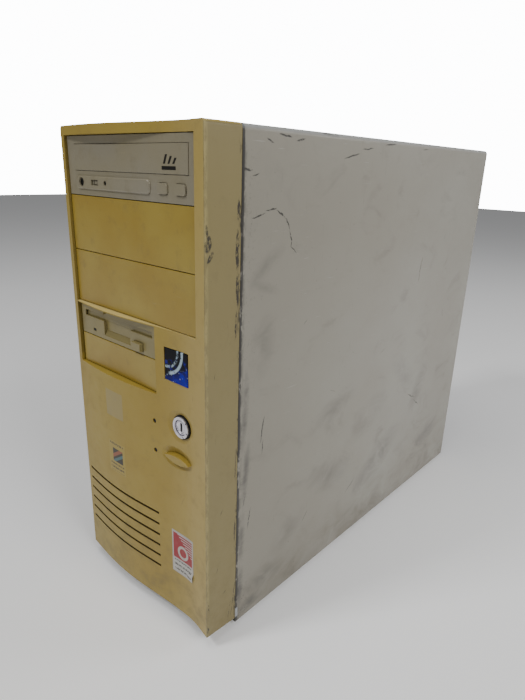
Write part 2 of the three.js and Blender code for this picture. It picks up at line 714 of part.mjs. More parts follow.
function floppyBody() {
  const shell = box(smallBodyLeft, smallBodyRight, bodyFront, driveFace + floppyDepth, floppyLow,
    floppyHigh);
  const slot = box(slotLeft - 0.6, slotRight + 0.6, bodyFront - 1, bodyFront + slotDepth,
    slotMid - slotTall / 2 - 0.4, slotMid + slotTall / 2 + 0.4);
  const swing = box(slotLeft - 0.6, slotRight + 0.6, bodyFront - 1, bodyFront + 8,
    slotMid - slotTall / 2 - 0.4, slotMid + slotTall / 2 + 3);
  const push = box(ejectX - ejectWide / 2 - 2, ejectX + ejectWide / 2 + 2, bodyFront - 1, bodyFront + 10,
    ejectZ - ejectTall / 2 - gap, ejectZ + ejectTall / 2 + gap);
  return cutBy(shell, [slot, swing, push]);
}
part('floppy_drive_body', floppyBody(), GREY, 0.35, 0.85);

function floppyBezel() {
  const back = bodyFront - gap;
  const far = back + 1;
  const face = box(smallLeft + gap, smallRight - gap, driveFace, back, floppyLow, floppyHigh);
  return cutBy(face, [
    box(slotLeft, slotRight, driveFace - 1, far, slotMid - slotTall / 2, slotMid + slotTall / 2),
    box(slotLeft - 2 * gap, slotRight + 2 * gap, driveFace + flapInset - gap, far,
      slotMid - slotTall / 2, slotMid + slotTall / 2 + 3),
    box(scoopLeft, scoopRight, driveFace - 1, driveFace + scoopDepth, floppyLow + 3.6, slotMid),
    bar('y', 3, driveFace - 1, driveFace + scoopDepth, slotMid + slotTall / 2, scoopLeft + 2, 14),
    box(ejectX - ejectWide / 2 - gap, ejectX + ejectWide / 2 + gap, driveFace - 1, far,
      ejectZ - ejectTall / 2 - gap, ejectZ + ejectTall / 2 + gap),
    box(smallLeft + 16.5, smallLeft + 20.5, driveFace - 1, driveFace + 1, floppyLow + 4.1, floppyLow + 6.1),
  ]);
}
part('floppy_bezel', floppyBezel(), BEIGE, 0.5, 0);
const flapFront = driveFace + flapInset;
const doorPivotY = flapFront + flapThickness - 0.2;
const doorPivotZ = slotMid + slotTall / 2 + 1.4;
part('floppy_door', joined([
  box(slotLeft, slotRight, flapFront, flapFront + flapThickness, slotMid - slotTall / 2 + 0.1, doorPivotZ),
  bar('x', 0.7, slotLeft, slotRight, doorPivotY, doorPivotZ, 8),
]), BEIGE, 0.5, 0);
part('floppy_eject_button', joined([
  box(ejectX - ejectWide / 2, ejectX + ejectWide / 2, driveFace - 3.2, bodyFront + 1,
    ejectZ - ejectTall / 2, ejectZ + ejectTall / 2),
  box(ejectX - ejectWide / 2 - 1.2, ejectX + ejectWide / 2 + 1.2, bodyFront + gap, bodyFront + 3,
    ejectZ - 2.6, ejectZ + 2.6),
]), BEIGE, 0.45, 0);

// ---------------------------------------------------------------- the hard disk
function hardDisk() {
  const front = cageFront + 6;
  const body = box(smallBodyLeft, smallBodyRight, front, front + diskDepth, diskLow, diskLow + 25.4);
  return cutBy(body, [
    box(smallBodyLeft - 1, smallBodyLeft + 2.5, front + 8, front + diskDepth - 8, diskLow + 14,
      diskLow + 20),
    box(smallBodyRight - 2.5, smallBodyRight + 1, front + 8, front + diskDepth - 8, diskLow + 14,
      diskLow + 20),
    box(smallBodyLeft + 6, smallBodyRight - 6, front + diskDepth - 6, front + diskDepth + 1, diskLow + 2,
      diskLow + 11),
  ]);
}
const diskBack = cageFront + 6 + diskDepth;
part('hard_disk', hardDisk(), '#77797c', 0.4, 0.8);

// ---------------------------------------------------------------- the power supply
// The supply's case is a channel of floor, front and rear, under a lid of top and sides.
function supplyCase() {
  const inset = sheet + gap;
  const shell = box(supplyLeft + inset, supplyRight - inset, supplyFront, supplyBack, supplyLow,
    supplyTop - inset);
  const hollow = box(supplyLeft, supplyRight, supplyFront + sheet, supplyBack - sheet, supplyLow + sheet,
    supplyTop);
  const near = supplyBack - sheet - 1;
  const far = supplyBack + 1;
  const cuts = [
    bar('y', fanRadius + 1, near, far, fanZ, fanX, 32),
    box(inletX - 13.6, inletX + 13.6, near, far, inletZ - 10, inletZ + 10),
    box(inletX - selectorSpan, inletX + selectorSpan, near, far, selectorZ - 4, selectorZ + 4),
    bar('y', 9, supplyFront - 1, supplyFront + sheet + 1, supplyLow + 22, supplyLeft + 40, 16),
  ];
  for (let i = 0; i < 7; i += 1) {
    const x = supplyLeft + 66 + i * 11;
    cuts.push(box(x - 2.4, x + 2.4, supplyFront - 1, supplyFront + sheet + 1, supplyLow + 14,
      supplyTop - 14));
  }
  return cutBy(shell, [hollow, ...cuts]);
}
function supplyLid() {
  const shell = box(supplyLeft, supplyRight, supplyFront, supplyBack, supplyLow, supplyTop);
  return shell.subtract(box(supplyLeft + sheet, supplyRight - sheet, supplyFront - 1, supplyBack + 1,
    supplyLow - 1, supplyTop - sheet));
}
part('supply_lid', supplyLid(), ZINC, 0.4, 0.85);
part('supply_case', supplyCase(), ZINC, 0.4, 0.85);

const frameBack = supplyBack - sheet - gap;
function fanFrame(x, z, size, bore, y0, y1) {
  const outer = box(x - size / 2, x + size / 2, y0, y1, z - size / 2, z + size / 2);
  const ring = outer.subtract(bar('y', bore, y0 - 1, y1 + 1, z, x, 32));
  const arms = [];
  for (const a of [Math.PI / 4, (3 * Math.PI) / 4]) {
    const arm = new THREE.BoxGeometry(size * 1.1, 3, 4);
    arm.rotateY(a);
    arm.translate(x, y0 + 1.5, z);
    arms.push(solid(arm).intersect(outer));
  }
  return joined([ring, ...arms, bar('y', bore * 0.4, y0, y0 + 3, z, x, 20)]);
}
part('supply_fan_frame', fanFrame(fanX, fanZ, fanSize, fanRadius, frameBack - fanDepth, frameBack), DARK,
  0.6, 0);

// A hub with pitched blades about Y, from y0 to y1.
function rotor(hubRadius, tipRadius, chord, y0, y1) {
  const blades = 7;
  const pieces = [bar('y', hubRadius, y0, y1, 0, 0, 20)];
  for (let i = 0; i < blades; i += 1) {
    const span = tipRadius - hubRadius + 2;
    const blade = new THREE.BoxGeometry(span, 1.4, chord);
    blade.rotateX(THREE.MathUtils.degToRad(32));
    blade.translate(hubRadius - 2 + span / 2, (y0 + y1) / 2, 0);
    blade.rotateY((2 * Math.PI * i) / blades);
    pieces.push(solid(blade));
  }
  const sweep = bar('y', tipRadius, y0 - 5, y1 + 5, 0, 0, 32);
  return joined(pieces).intersect(sweep);
}
const rotorFront = frameBack - fanDepth + 3 + 2;
part('supply_fan', rotor(15, fanRadius - 1.5, 22, 0, 16).translate([fanX, rotorFront, fanZ]), '#26272a',
  0.55, 0);

// The wire guard over the fan's outlet.
function fanGuard() {
  const wire = 0.9;
  const y = supplyBack + wire + 0.7;
  const wires = [];
  for (const share of [0.38, 0.7, 1.03]) {
    const ring = new THREE.TorusGeometry(share * fanRadius, wire, 4, 26);
    ring.rotateX(Math.PI / 2);
    ring.translate(fanX, y, fanZ);
    wires.push(solid(ring));
  }
  for (const a of [Math.PI / 4, (3 * Math.PI) / 4]) {
    const spoke = new THREE.CylinderGeometry(wire, wire, 2 * (fanRadius + 6), 5);
    spoke.rotateZ(Math.PI / 2);
    spoke.rotateY(a);
    spoke.translate(fanX, y, fanZ);
    wires.push(solid(spoke));
  }
  return joined(wires);
}
part('fan_guard', fanGuard(), '#c2c4c6', 0.3, 0.9);

function powerInlet() {
  const rim = box(inletX - 15, inletX + 15, supplyBack + gap, supplyBack + 3, inletZ - 12, inletZ + 12);
  const shell = box(inletX - 13.3, inletX + 13.3, supplyBack - 18, supplyBack + 2, inletZ - 9.7,
    inletZ + 9.7);
  const socket = box(inletX - 12, inletX + 12, supplyBack - 16, supplyBack + 4, inletZ - 8.2, inletZ + 8.2);
  const pins = [[-7, 1], [0, -1.8],
    [7, 1]].map(([x, z]) => box(inletX + x - 1, inletX + x + 1, supplyBack - 17, supplyBack - 1,
    inletZ + z - 2.4, inletZ + z + 2.4));
  return joined([rim.add(shell).subtract(socket), ...pins]);
}
part('power_inlet', powerInlet(), DARK, 0.5, 0);

const knobRight = inletX + selectorSpan - gap - selectorTravel;
part('voltage_selector', joined([
  box(inletX - selectorSpan - 1, knobRight + 3, supplyBack - sheet - gap - 2, supplyBack - sheet - gap,
    selectorZ - 6, selectorZ + 6),
  box(inletX - selectorSpan + gap, knobRight, supplyBack - sheet - 1, supplyBack - 0.4,
    selectorZ - 4 + gap, selectorZ + 4 - gap),
]), '#a01820', 0.45, 0);

// ---------------------------------------------------------------- the motherboard and what it carries
const cpuY = boardFront + 130;
const cpuZ = boardLow + 190;
const cpuSize = 50;
const moduleY = boardFront + 72;
const headerX = boardFace - 8;
const memoryLength = 133;

function slotSocket(z, y0, y1) {
  const body = box(boardFace - 15, boardFace + 0.5, y0, y1, z - 4.2, z + 4.2);
  return body.subtract(box(boardFace - 16, boardFace - 6, y0 + 3, y1 - 3, z - boardThickness / 2 - gap,
    z + boardThickness / 2 + gap));
}
const slotFrontY = boardBack - 150;
const slotBackY = boardBack - 55;
const cardLift = 6 + gap;
const ribbonPlanes = {
  disk_ribbon: { y: boardFront + 16.6, z0: boardLow + 8, z1: boardLow + 58 },
  floppy_ribbon: { y: boardFront + 24.6, z0: boardLow + 84, z1: boardLow + 126 },
  optical_ribbon: { y: boardFront + 36.3, z0: boardLow + 130, z1: boardLow + 180 },
};

function motherboard() {
  const pieces = [box(boardFace, boardFace + boardThickness, boardFront, boardBack, boardLow,
    boardLow + boardSize)];
  for (let i = 0; i < boardSlots; i += 1) {
    pieces.push(slotSocket(slotZ(i + 1), slotFrontY, slotBackY));
  }
  pieces.push(box(boardFace - 4, boardFace + 0.5, cpuY - 27, cpuY + 27, cpuZ - 27, cpuZ + 27));
  for (const dy of [0, 12]) {
    const socket = box(boardFace - 8, boardFace + 0.5, moduleY + dy - 3.4, moduleY + dy + 3.4,
      boardLow + 104, boardLow + 238);
    pieces.push(socket.subtract(box(boardFace - 9, boardFace - 2, moduleY + dy - 1, moduleY + dy + 1,
      boardLow + 104.4, boardLow + 237.6)));
  }
  for (const { y, z0, z1 } of Object.values(ribbonPlanes)) {
    pieces.push(box(boardFace - 7, boardFace + 0.5, y - 4, y + 4, z0 - 1, z1 + 1));
  }
  pieces.push(box(boardFace - 10, boardFace + 0.5, cpuY + 44, cpuY + 54, cpuZ - 26,
    cpuZ + 26)); // power header
  pieces.push(box(boardFace - 3, boardFace + 0.5, boardFront + 100, boardFront + 130, boardLow + 110,
    boardLow + 140)); // bridges
  pieces.push(box(boardFace - 3, boardFace + 0.5, boardFront + 60, boardFront + 84, boardLow + 30,
    boardLow + 54));
  pieces.push(bar('x', 10, boardFace - 5, boardFace + 0.5, boardFront + 60, boardLow + 76,
    16)); // clock battery
  for (let i = 0; i < 4; i += 1) {
    pieces.push(bar('x', 4, boardFace - 11, boardFace + 0.5, cpuY + 36, cpuZ - 22 + i * 14, 10));
  }
  return joined(pieces);
}
part('motherboard', motherboard(), RESIN, 0.45, 0.1);

// The sockets at the rear on their common strip, from the top down: keyboard pair, serial port pair,
// parallel port, sound.
function rearSockets() {
  const ioTop = ioLow + ioHeight;
  const near = boardBack - 24;
  const face = boardFace - gap;
  const socket = (drop, tall, deep, reach) => box(boardFace - deep, face, near, coverRear + reach,
    ioTop - drop - tall / 2, ioTop - drop + tall / 2);
  const strip = box(boardFace - 3, face, near, boardBack, ioTop - 126, ioTop - 7);
  const bores = [7.5, 20.5].map((reach) => bar('y', 4.4, rearOuter - 8, coverRear + 2, ioTop - 14,
    boardFace - reach, 14));
  const slits = [13, 6.5].map((reach) => box(boardFace - reach, boardFace - reach + 3.5, rearOuter - 8,
    coverRear + 2, ioTop - 40, ioTop - 28));
  return joined([
    strip,
    cutBy(socket(14, 14, 28, 1), bores),
    cutBy(socket(34, 14, 15, 1), slits),
    socket(72, 54, 12, rearReach),
    socket(116, 20, 24, rearReach),
  ]);
}
part('rear_sockets', rearSockets(), DARK, 0.5, 0.1);

const cpuFaceX = boardFace - 4 - gap;
part('processor', box(cpuFaceX - 3.5, cpuFaceX, cpuY - cpuSize / 2, cpuY + cpuSize / 2,
  cpuZ - cpuSize / 2, cpuZ + cpuSize / 2), '#6b5a4a', 0.5, 0);
const sinkX = cpuFaceX - 3.5 - gap;
function heatsink() {
  const block = box(sinkX - 22, sinkX, cpuY - cpuSize / 2, cpuY + cpuSize / 2, cpuZ - cpuSize / 2,
    cpuZ + cpuSize / 2);
  const cuts = [];
  for (let i = 0; i < 7; i += 1) {
    const y = cpuY - 21 + i * 7;
    cuts.push(box(sinkX - 23, sinkX - 5, y - 2, y + 2, cpuZ - 30, cpuZ + 30));
  }
  return cutBy(block, cuts);
}
part('heatsink', heatsink(), '#8e9194', 0.4, 0.9);
const coolerX = sinkX - 22 - gap;
const turnToX = new THREE.Matrix4().makeRotationZ(Math.PI / 2);

// Turns a solid built about the Y axis so that +Y becomes -X, and sets its origin.
function towardsLeft(shape, x, y, z) {
  const m = turnToX.clone().setPosition(x, y, z);
  return shape.transform(m.elements);
}
const coolerDepth = 11;
part('cooler_frame', towardsLeft(fanFrame(0, 0, cpuSize, 23, 0, coolerDepth), coolerX, cpuY, cpuZ), DARK,
  0.6, 0);
part('cooler_fan', towardsLeft(rotor(10, 22, 10, 0, 5.5), coolerX - 4.3, cpuY, cpuZ), '#26272a', 0.55, 0);

part('memory_module', joined([
  box(boardFace - 34, boardFace - 2 - gap, moduleY - 0.6, moduleY + 0.6,
    boardLow + 171 - memoryLength / 2, boardLow + 171 + memoryLength / 2),
  ...[0, 1, 2, 3].map((i) => box(boardFace - 28, boardFace - 14, moduleY - 1.8, moduleY,
    boardLow + 118 + i * 28, boardLow + 140 + i * 28)),
]), RESIN, 0.45, 0.1);

// A plate that closes a slot's opening from inside, with its folded tab.
const bracketBack = rearInner - gap;
function bracket(n) {
  return joined([
    box(bracketLeft, bracketRight, bracketBack - sheet, bracketBack, slotZ(n) - bracketWidth / 2,
      slotZ(n) + bracketWidth / 2),
    box(bracketLeft, bracketLeft + sheet, bracketBack - 11, bracketBack, slotZ(n) - bracketWidth / 2,
      slotZ(n) + bracketWidth / 2),
  ]);
}

// A card in slot n: its board, chips, bracket and rear sockets. A socket is given as its distance from the
// bracket's right end, its width and its height.
function card(n, reach, chips, sockets) {
  const z = slotZ(n);
  const edge = boardFace - cardLift;
  const pieces = [
    box(boardFace - 15 - gap - reach, boardFace - 15 - gap, slotFrontY - 8, bracketBack - 0.5,
      z - boardThickness / 2, z + boardThickness / 2),
    box(boardFace - 16, edge, slotFrontY + 4, slotBackY - 4, z - boardThickness / 2,
      z + boardThickness / 2),
    bracket(n),
  ];
  for (const [x, y, size] of chips) {
    pieces.push(box(boardFace - 20 - x - size, boardFace - 20 - x, bracketBack - y - size,
      bracketBack - y, z, z + boardThickness / 2 + 2.4));
  }
  for (const [x, wide, tall] of sockets) {
    pieces.push(box(bracketRight - x - wide, bracketRight - x, bracketBack - 10, coverRear + rearReach,
      z - tall / 2, z + tall / 2));
  }
  return joined(pieces);
}
part('graphics_card', card(4, 78, [[24, 60, 26], [58, 30, 14], [58, 50, 14]], [[44, 31, 11]]), RESIN,
  0.45, 0.1);
part('sound_card', card(2, 74, [[20, 70, 22], [50, 34, 10]],
  [[22, 8, 8], [36, 8, 8], [50, 8, 8], [64, 40, 11]]), RESIN, 0.45, 0.1);

// ---------------------------------------------------------------- held leads
const ribbonThickness = 1.1;
const ribbonWidth = { disk_ribbon: 50, floppy_ribbon: 42, optical_ribbon: 50 };

// A ribbon that leaves a drive backwards, hangs behind it with its width along X, and is folded once to
// run to the board with its width along Z.
function ribbon(name, x0, route) {
  const { y, z0, z1 } = ribbonPlanes[name];
  const width = ribbonWidth[name];
  const drop = push('x', bandOutline([...route, [y, z0 + 4]], ribbonThickness), x0, x0 + width);
  const run = box(x0, headerX - gap, y - ribbonThickness / 2, y + ribbonThickness / 2, z0 + 2, z1 - 2);
  const plug = box(headerX - 6, boardFace - 7 - gap, y - 3, y + 3, z0, z1);
  const [startY, startZ] = route[0];
  const driveEnd = box(x0 - 2, x0 + width + 2, startY - 1, startY + 6, startZ - 4, startZ + 4);
  return joined([drop, run, plug, driveEnd]);
}
part('disk_ribbon', ribbon('disk_ribbon', smallBodyLeft + 8, [
  [diskBack + 1 + gap, diskLow + 17],
  [diskBack + 8, diskLow + 10],
]), '#9a9c9e', 0.6, 0);
part('floppy_ribbon', ribbon('floppy_ribbon', smallBodyLeft + 24, [
  [driveFace + floppyDepth + 1 + gap, floppyLow + 14],
  [diskBack + 6, floppyLow + 4],
  [diskBack + 16, floppyLow - 10],
]), '#9a9c9e', 0.6, 0);
part('optical_ribbon', ribbon('optical_ribbon', bodyRight - 62, [
  [driveFace + opticalDepth + 1 + gap, opticalLow + 12],
  [driveFace + opticalDepth + 13, opticalLow + 2],
]), '#9a9c9e', 0.6, 0);

part('drive_power_lead', joined([
  lead([
    [supplyLeft + 40, supplyFront - gap, supplyLow + 22],
    [supplyLeft + 40, supplyFront - 8, supplyLow + 22],
    [bodyLeft + 14, driveFace + opticalDepth + 24, opticalLow - 6],
    [bodyLeft + 14, driveFace + opticalDepth + 5, opticalLow + 10],
  ], 3, 22),
  box(bodyLeft + 4, bodyLeft + 24, driveFace + opticalDepth + gap, driveFace + opticalDepth + 8,
    opticalLow + 6, opticalLow + 14),
]), '#7c2020', 0.6, 0);

part('board_power_lead', joined([
  lead([
    [supplyLeft + 56, supplyFront - gap, supplyLow + 26],
    [supplyLeft + 56, supplyFront - 10, supplyLow + 26],
    [supplyLeft + 68, supplyFront - 14, supplyLow - 6],
    [supplyLeft + 84, supplyFront + 14, supplyLow - 18],
    [boardFace - 54, cpuY + 30, cpuZ + 30],
    [boardFace - 40, cpuY + 49, cpuZ + 4],
    [boardFace - 20, cpuY + 49, cpuZ],
  ], 4.5, 34),
  box(boardFace - 22, boardFace - 10 - gap, cpuY + 44.5, cpuY + 53.5, cpuZ - 25, cpuZ + 25),
]), '#2a2a2c', 0.6, 0);

part('panel_wires', joined([
  lead([
    [powerX, frontHigh + 8 + gap, powerHeight],
    [powerX, frontHigh + 14, powerHeight],
    [powerX + 2, frontHigh + 34, powerHeight - 20],
    [boardFace - 12, boardFront - 30, boardLow + 78],
    [boardFace - 5.6, boardFront + 8, boardLow + 74],
  ], 1.8, 26),
  box(boardFace - 8, boardFace - gap, boardFront + 4, boardFront + 10, boardLow + 66, boardLow + 82),
]), '#35506e', 0.6, 0);

// ---------------------------------------------------------------- the feet
const footRadius = 9;
const footInset = 26;
for (const [side, x] of [['left', left + footInset], ['right', right - footInset]]) {
  for (const [end, y] of [['front', seam + footInset], ['rear', coverRear - footInset]]) {
    const foot = new THREE.LatheGeometry([
      new THREE.Vector2(0, 0),
      new THREE.Vector2(footRadius - 1.2, 0),
      new THREE.Vector2(footRadius, 1.2),
      new THREE.Vector2(footRadius + 0.6, floorLow - gap),
      new THREE.Vector2(0, floorLow - gap),
    ], 18);
    foot.rotateX(Math.PI / 2);
    foot.translate(x, y, 0);
    part(`foot_${end}_${side}`, solid(foot), DARK, 0.8, 0);
  }
}

export default model;
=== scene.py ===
import json
import math
import bmesh
import bpy
from mathutils import Matrix, Vector

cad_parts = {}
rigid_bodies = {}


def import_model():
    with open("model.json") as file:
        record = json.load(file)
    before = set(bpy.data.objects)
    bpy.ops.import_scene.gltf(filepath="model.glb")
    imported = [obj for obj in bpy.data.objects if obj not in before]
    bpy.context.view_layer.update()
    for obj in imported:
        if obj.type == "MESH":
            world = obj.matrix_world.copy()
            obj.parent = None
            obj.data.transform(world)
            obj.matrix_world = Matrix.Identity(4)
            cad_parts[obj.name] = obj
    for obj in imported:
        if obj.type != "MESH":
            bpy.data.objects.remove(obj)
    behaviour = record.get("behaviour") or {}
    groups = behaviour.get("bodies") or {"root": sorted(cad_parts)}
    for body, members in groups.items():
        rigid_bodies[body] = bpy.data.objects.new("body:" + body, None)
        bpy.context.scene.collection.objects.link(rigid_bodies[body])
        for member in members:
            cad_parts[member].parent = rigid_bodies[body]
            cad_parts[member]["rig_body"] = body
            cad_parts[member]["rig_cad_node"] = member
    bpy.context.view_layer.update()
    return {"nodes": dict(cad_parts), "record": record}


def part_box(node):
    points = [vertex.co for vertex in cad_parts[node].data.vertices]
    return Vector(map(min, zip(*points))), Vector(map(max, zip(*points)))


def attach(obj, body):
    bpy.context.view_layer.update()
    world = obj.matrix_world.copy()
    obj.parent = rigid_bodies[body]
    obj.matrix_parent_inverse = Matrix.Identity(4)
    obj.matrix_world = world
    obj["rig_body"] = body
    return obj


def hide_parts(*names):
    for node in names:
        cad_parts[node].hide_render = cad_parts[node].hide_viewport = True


bl_info = {
    "name": "Desktop tower looks",
    "version": (1, 0, 0),
    "blender": (4, 5, 0),
    "location": "View3D > Sidebar > Tower",
    "description": "Finishes a mini-tower computer around its CAD frame: shells, controls, labels, wear",
    "category": "Object",
}

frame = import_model()
MM = 0.001
VIEW_ANGLES = (41.64, 18.85, 1.77)  # the camera's azimuth, elevation and roll, in degrees
CAMERA_PLACE = (0.32507, -0.43196, 0.36281)
LENS = 27.32  # focal length in mm
SKY_SEEN, SKY_LIGHT = 14.0, 0.14  # strength added for the camera, and what lights the scene
LAMPS = (  # place, width in metres, watts
    ((1.5, -0.3, 1.3), 0.8, 16),
    ((-0.5, -1.4, 1.8), 0.35, 17),
    ((1.4, 1.4, 1.0), 0.9, 10),
    ((0.0, -0.6, 2.2), 0.8, 9),
)

BEZEL_LOW, BEZEL_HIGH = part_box("front_bezel")
COVER_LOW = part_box("cover")[0]
DRIVE_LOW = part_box("optical_bezel")[0]
FLOPPY_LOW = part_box("floppy_bezel")[0]
BADGE_LOW, BADGE_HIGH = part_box("case_badge")
LOCK_LOW, LOCK_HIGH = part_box("lock_housing")
BARREL_LOW, BARREL_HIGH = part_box("lock_barrel")
DOOR_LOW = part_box("tray_door")[0]
LEFT, RIGHT = BEZEL_LOW.x, BEZEL_HIGH.x
SEAM = BEZEL_HIGH.y
TOP = BEZEL_HIGH.z
DRIVE_FACE = DRIVE_LOW.y
BODY_OF = {node: body for body, nodes in frame["record"]["behaviour"]["bodies"].items() for node in nodes}
SLOT_OF = {row["node"]: row["material_slot"] for row in frame["record"]["subparts"]}


def linear(code):
    """A hexadecimal colour as linear red, green, blue and alpha."""
    parts = [int(code[i:i + 2], 16) / 255 for i in (1, 3, 5)]
    return tuple(c / 12.92 if c < 0.04045 else ((c + 0.055) / 1.055) ** 2.4 for c in parts) + (1.0,)


# ------------------------------------------------------------------ sizes and colours
def colour_prop(label, code, text):
    return bpy.props.FloatVectorProperty(
        name=label, description=text, subtype="COLOR", size=4, min=0, max=1, default=linear(code))


def size_prop(label, value, text):
    return bpy.props.FloatProperty(
        name=label, description=text, default=value, min=0, max=0.05, unit="LENGTH", precision=5)


class TowerSizes(bpy.types.PropertyGroup):
    moulded_round: size_prop("Moulded edge", 0.7 * MM, "Rounding of the bezel's moulded edges")
    blank_round: size_prop("Blank edge", 0.35 * MM, "Rounding of the blanks' and drive fronts' edges")
    sheet_round: size_prop("Sheet edge", 0.25 * MM, "Rounding of folded and cut sheet steel")
    button_round: size_prop("Button edge", 0.9 * MM, "Rounding of the small push buttons")
    label_lift: size_prop("Label lift", 0.08 * MM, "How far the stickers stand off the bezel")


class TowerColours(bpy.types.PropertyGroup):
    yellowed: colour_prop("Yellowed plastic", "#a08a3a", "The sun-yellowed bezel")
    yellowed_dark: colour_prop("Deep yellow", "#957a28", "Where the plastic has yellowed most")
    beige: colour_prop("Beige plastic", "#8a8474", "The optical drive's front")
    beige_warm: colour_prop("Warm beige", "#857a50", "The floppy drive's front")
    paint: colour_prop("Cover paint", "#9a978d", "The cover's grey paint")
    # Dirt along seams and edges, and also the painted shade that aged_plastic and bezel_plastic lay into
    # recesses
    grime: colour_prop("Grime", "#1c1814", "Dirt along seams and edges")
    zinc: colour_prop("Zinc steel", "#9fa3a5", "The chassis sheets")
    navy: colour_prop("Badge navy", "#08083a", "The badge's ground")
    label_red: colour_prop("Label red", "#96101f", "The sticker's panel")
    label_white: colour_prop("Label white", "#b9b6b0", "The sticker's paper")


# ------------------------------------------------------------------ finishes
class Wire:
    """A number in a node tree that ordinary arithmetic can be written with."""

    def __init__(self, tree, socket):
        self.tree = tree
        self.socket = socket

    def calc(self, operation, *others):
        node = self.tree.nodes.new("ShaderNodeMath")
        node.operation = operation
        for slot, value in enumerate((self,) + others):
            if isinstance(value, Wire):
                self.tree.links.new(value.socket, node.inputs[slot])
            else:
                node.inputs[slot].default_value = value
        return Wire(self.tree, node.outputs[0])

    def __add__(self, other):
        return self.calc("ADD", other)

    def __sub__(self, other):
        return self.calc("SUBTRACT", other)

    def __mul__(self, other):
        return self.calc("MULTIPLY", other)

    def __truediv__(self, other):
        return self.calc("DIVIDE", other)

    def flip(self):
        return (self * -1.0) + 1.0

    def top(self, other):
        return self.calc("MAXIMUM", other)

    def low(self, other):
        return self.calc("MINIMUM", other)

    def size(self):
        return self.calc("ABSOLUTE")

    def rise(self, start, end):
        """0 before start and 1 after end, with a smooth step between."""
        node = self.tree.nodes.new("ShaderNodeMapRange")
        node.interpolation_type = "SMOOTHSTEP"
        self.tree.links.new(self.socket, node.inputs["Value"])
        node.inputs["From Min"].default_value = start
        node.inputs["From Max"].default_value = end
        return Wire(self.tree, node.outputs[0])

    def within(self, start, end, soft):
        """1 between start and end."""
        return self.rise(start - soft, start + soft) * self.rise(end - soft, end + soft).flip()


class Finish:
    """A material under construction. Texture sizes and bump depths are in mm."""

    def __init__(self, name):
        self.material = bpy.data.materials.new(name)
        self.material.use_nodes = True
        self.tree = self.material.node_tree
        self.shader = self.tree.nodes["Principled BSDF"]
        self.place = self.tree.nodes.new("ShaderNodeTexCoord").outputs["Object"]
        apart = self.tree.nodes.new("ShaderNodeSeparateXYZ")
        self.tree.links.new(self.place, apart.inputs[0])
        self.x, self.y, self.z = (Wire(self.tree, socket) for socket in apart.outputs)
        self.colour = None

    def scaled(self, size, stretch, turn=(0, 0, 0), source=None):
        node = self.tree.nodes.new("ShaderNodeMapping")
        node.inputs["Rotation"].default_value = turn
        node.inputs["Scale"].default_value = [1 / (size * MM * s) for s in stretch]
        self.tree.links.new(source or self.place, node.inputs["Vector"])
        return node.outputs[0]

    def noise(self, size, detail=2.0, rough=0.5, stretch=(1, 1, 1), turn=(0, 0, 0), warp=0.0):
        node = self.tree.nodes.new("ShaderNodeTexNoise")
        node.inputs["Scale"].default_value = 1.0
        node.inputs["Detail"].default_value = detail
        node.inputs["Roughness"].default_value = rough
        node.inputs["Distortion"].default_value = warp
        self.tree.links.new(self.scaled(size, stretch, turn), node.inputs["Vector"])
        return Wire(self.tree, node.outputs[0])

    def cells(self, size, stretch=(1, 1, 1)):
        node = self.tree.nodes.new("ShaderNodeTexVoronoi")
        node.inputs["Scale"].default_value = 1.0
        self.tree.links.new(self.scaled(size, stretch), node.inputs["Vector"])
        return Wire(self.tree, node.outputs["Distance"])

    def mix(self, first, second, share):
        node = self.tree.nodes.new("ShaderNodeMix")
        node.data_type = "RGBA"
        for slot, value in ((0, share), (6, first), (7, second)):
            if isinstance(value, Wire):
                self.tree.links.new(value.socket, node.inputs[slot])
            elif isinstance(value, bpy.types.NodeSocket):
                self.tree.links.new(value, node.inputs[slot])
            else:
                node.inputs[slot].default_value = value
        return node.outputs[2]

    def over(self, tint, share):
        """Lays a tint over the colour so far."""
        self.colour = self.mix(self.colour, linear(tint) if isinstance(tint, str) else tint, share)

    def rippled(self, first, second, size, reach):
        """Two of the coordinates as a flat vector, shaken by noise so that strokes look hand-made."""
        shake = self.noise(size, 3.0)
        node = self.tree.nodes.new("ShaderNodeCombineXYZ")
        moved = (shake - 0.5) * (reach * MM)
        self.tree.links.new((first + moved).socket, node.inputs[0])
        self.tree.links.new((second + moved * 0.8).socket, node.inputs[1])
        return node.outputs[0]

    def stroke(self, plane, centre, length, width, angle):
        """A tapering mark in a flat vector's plane: 1 at its middle, 0 at its outline."""
        spot = self.tree.nodes.new("ShaderNodeMapping")
        spot.vector_type = "TEXTURE"
        spot.inputs["Location"].default_value = (centre[0] * MM, centre[1] * MM, 0)
        spot.inputs["Rotation"].default_value = (0, 0, math.radians(angle))
        spot.inputs["Scale"].default_value = (length * MM / 2, width * MM / 2, 1)
        self.tree.links.new(plane, spot.inputs["Vector"])
        ball = self.tree.nodes.new("ShaderNodeTexGradient")
        ball.gradient_type = "SPHERICAL"
        self.tree.links.new(spot.outputs[0], ball.inputs["Vector"])
        return Wire(self.tree, ball.outputs["Fac"])

    def strokes(self, plane, marks):
        """The strongest of several strokes, each given as centre, length, width, angle and strength."""
        total = None
        for centre, length, width, angle, strength in marks:
            mark = self.stroke(plane, centre, length, width, angle) * strength
            total = mark if total is None else total.top(mark)
        return total

    def bump(self, height, distance, strength=1.0):
        node = self.tree.nodes.new("ShaderNodeBump")
        node.inputs["Distance"].default_value = distance * MM
        node.inputs["Strength"].default_value = strength
        self.tree.links.new(height.socket, node.inputs["Height"])
        self.tree.links.new(node.outputs[0], self.shader.inputs["Normal"])

    def paint(self, roughness, metallic=0.0, coat=0.0):
        self.shader.inputs["Metallic"].default_value = metallic
        if coat:
            self.shader.inputs["Coat Weight"].default_value = coat
            self.shader.inputs["Coat Roughness"].default_value = 0.12
        self.tree.links.new(self.colour, self.shader.inputs["Base Color"])
        if isinstance(roughness, Wire):
            self.tree.links.new(roughness.socket, self.shader.inputs["Roughness"])
        else:
            self.shader.inputs["Roughness"].default_value = roughness
        return self.material


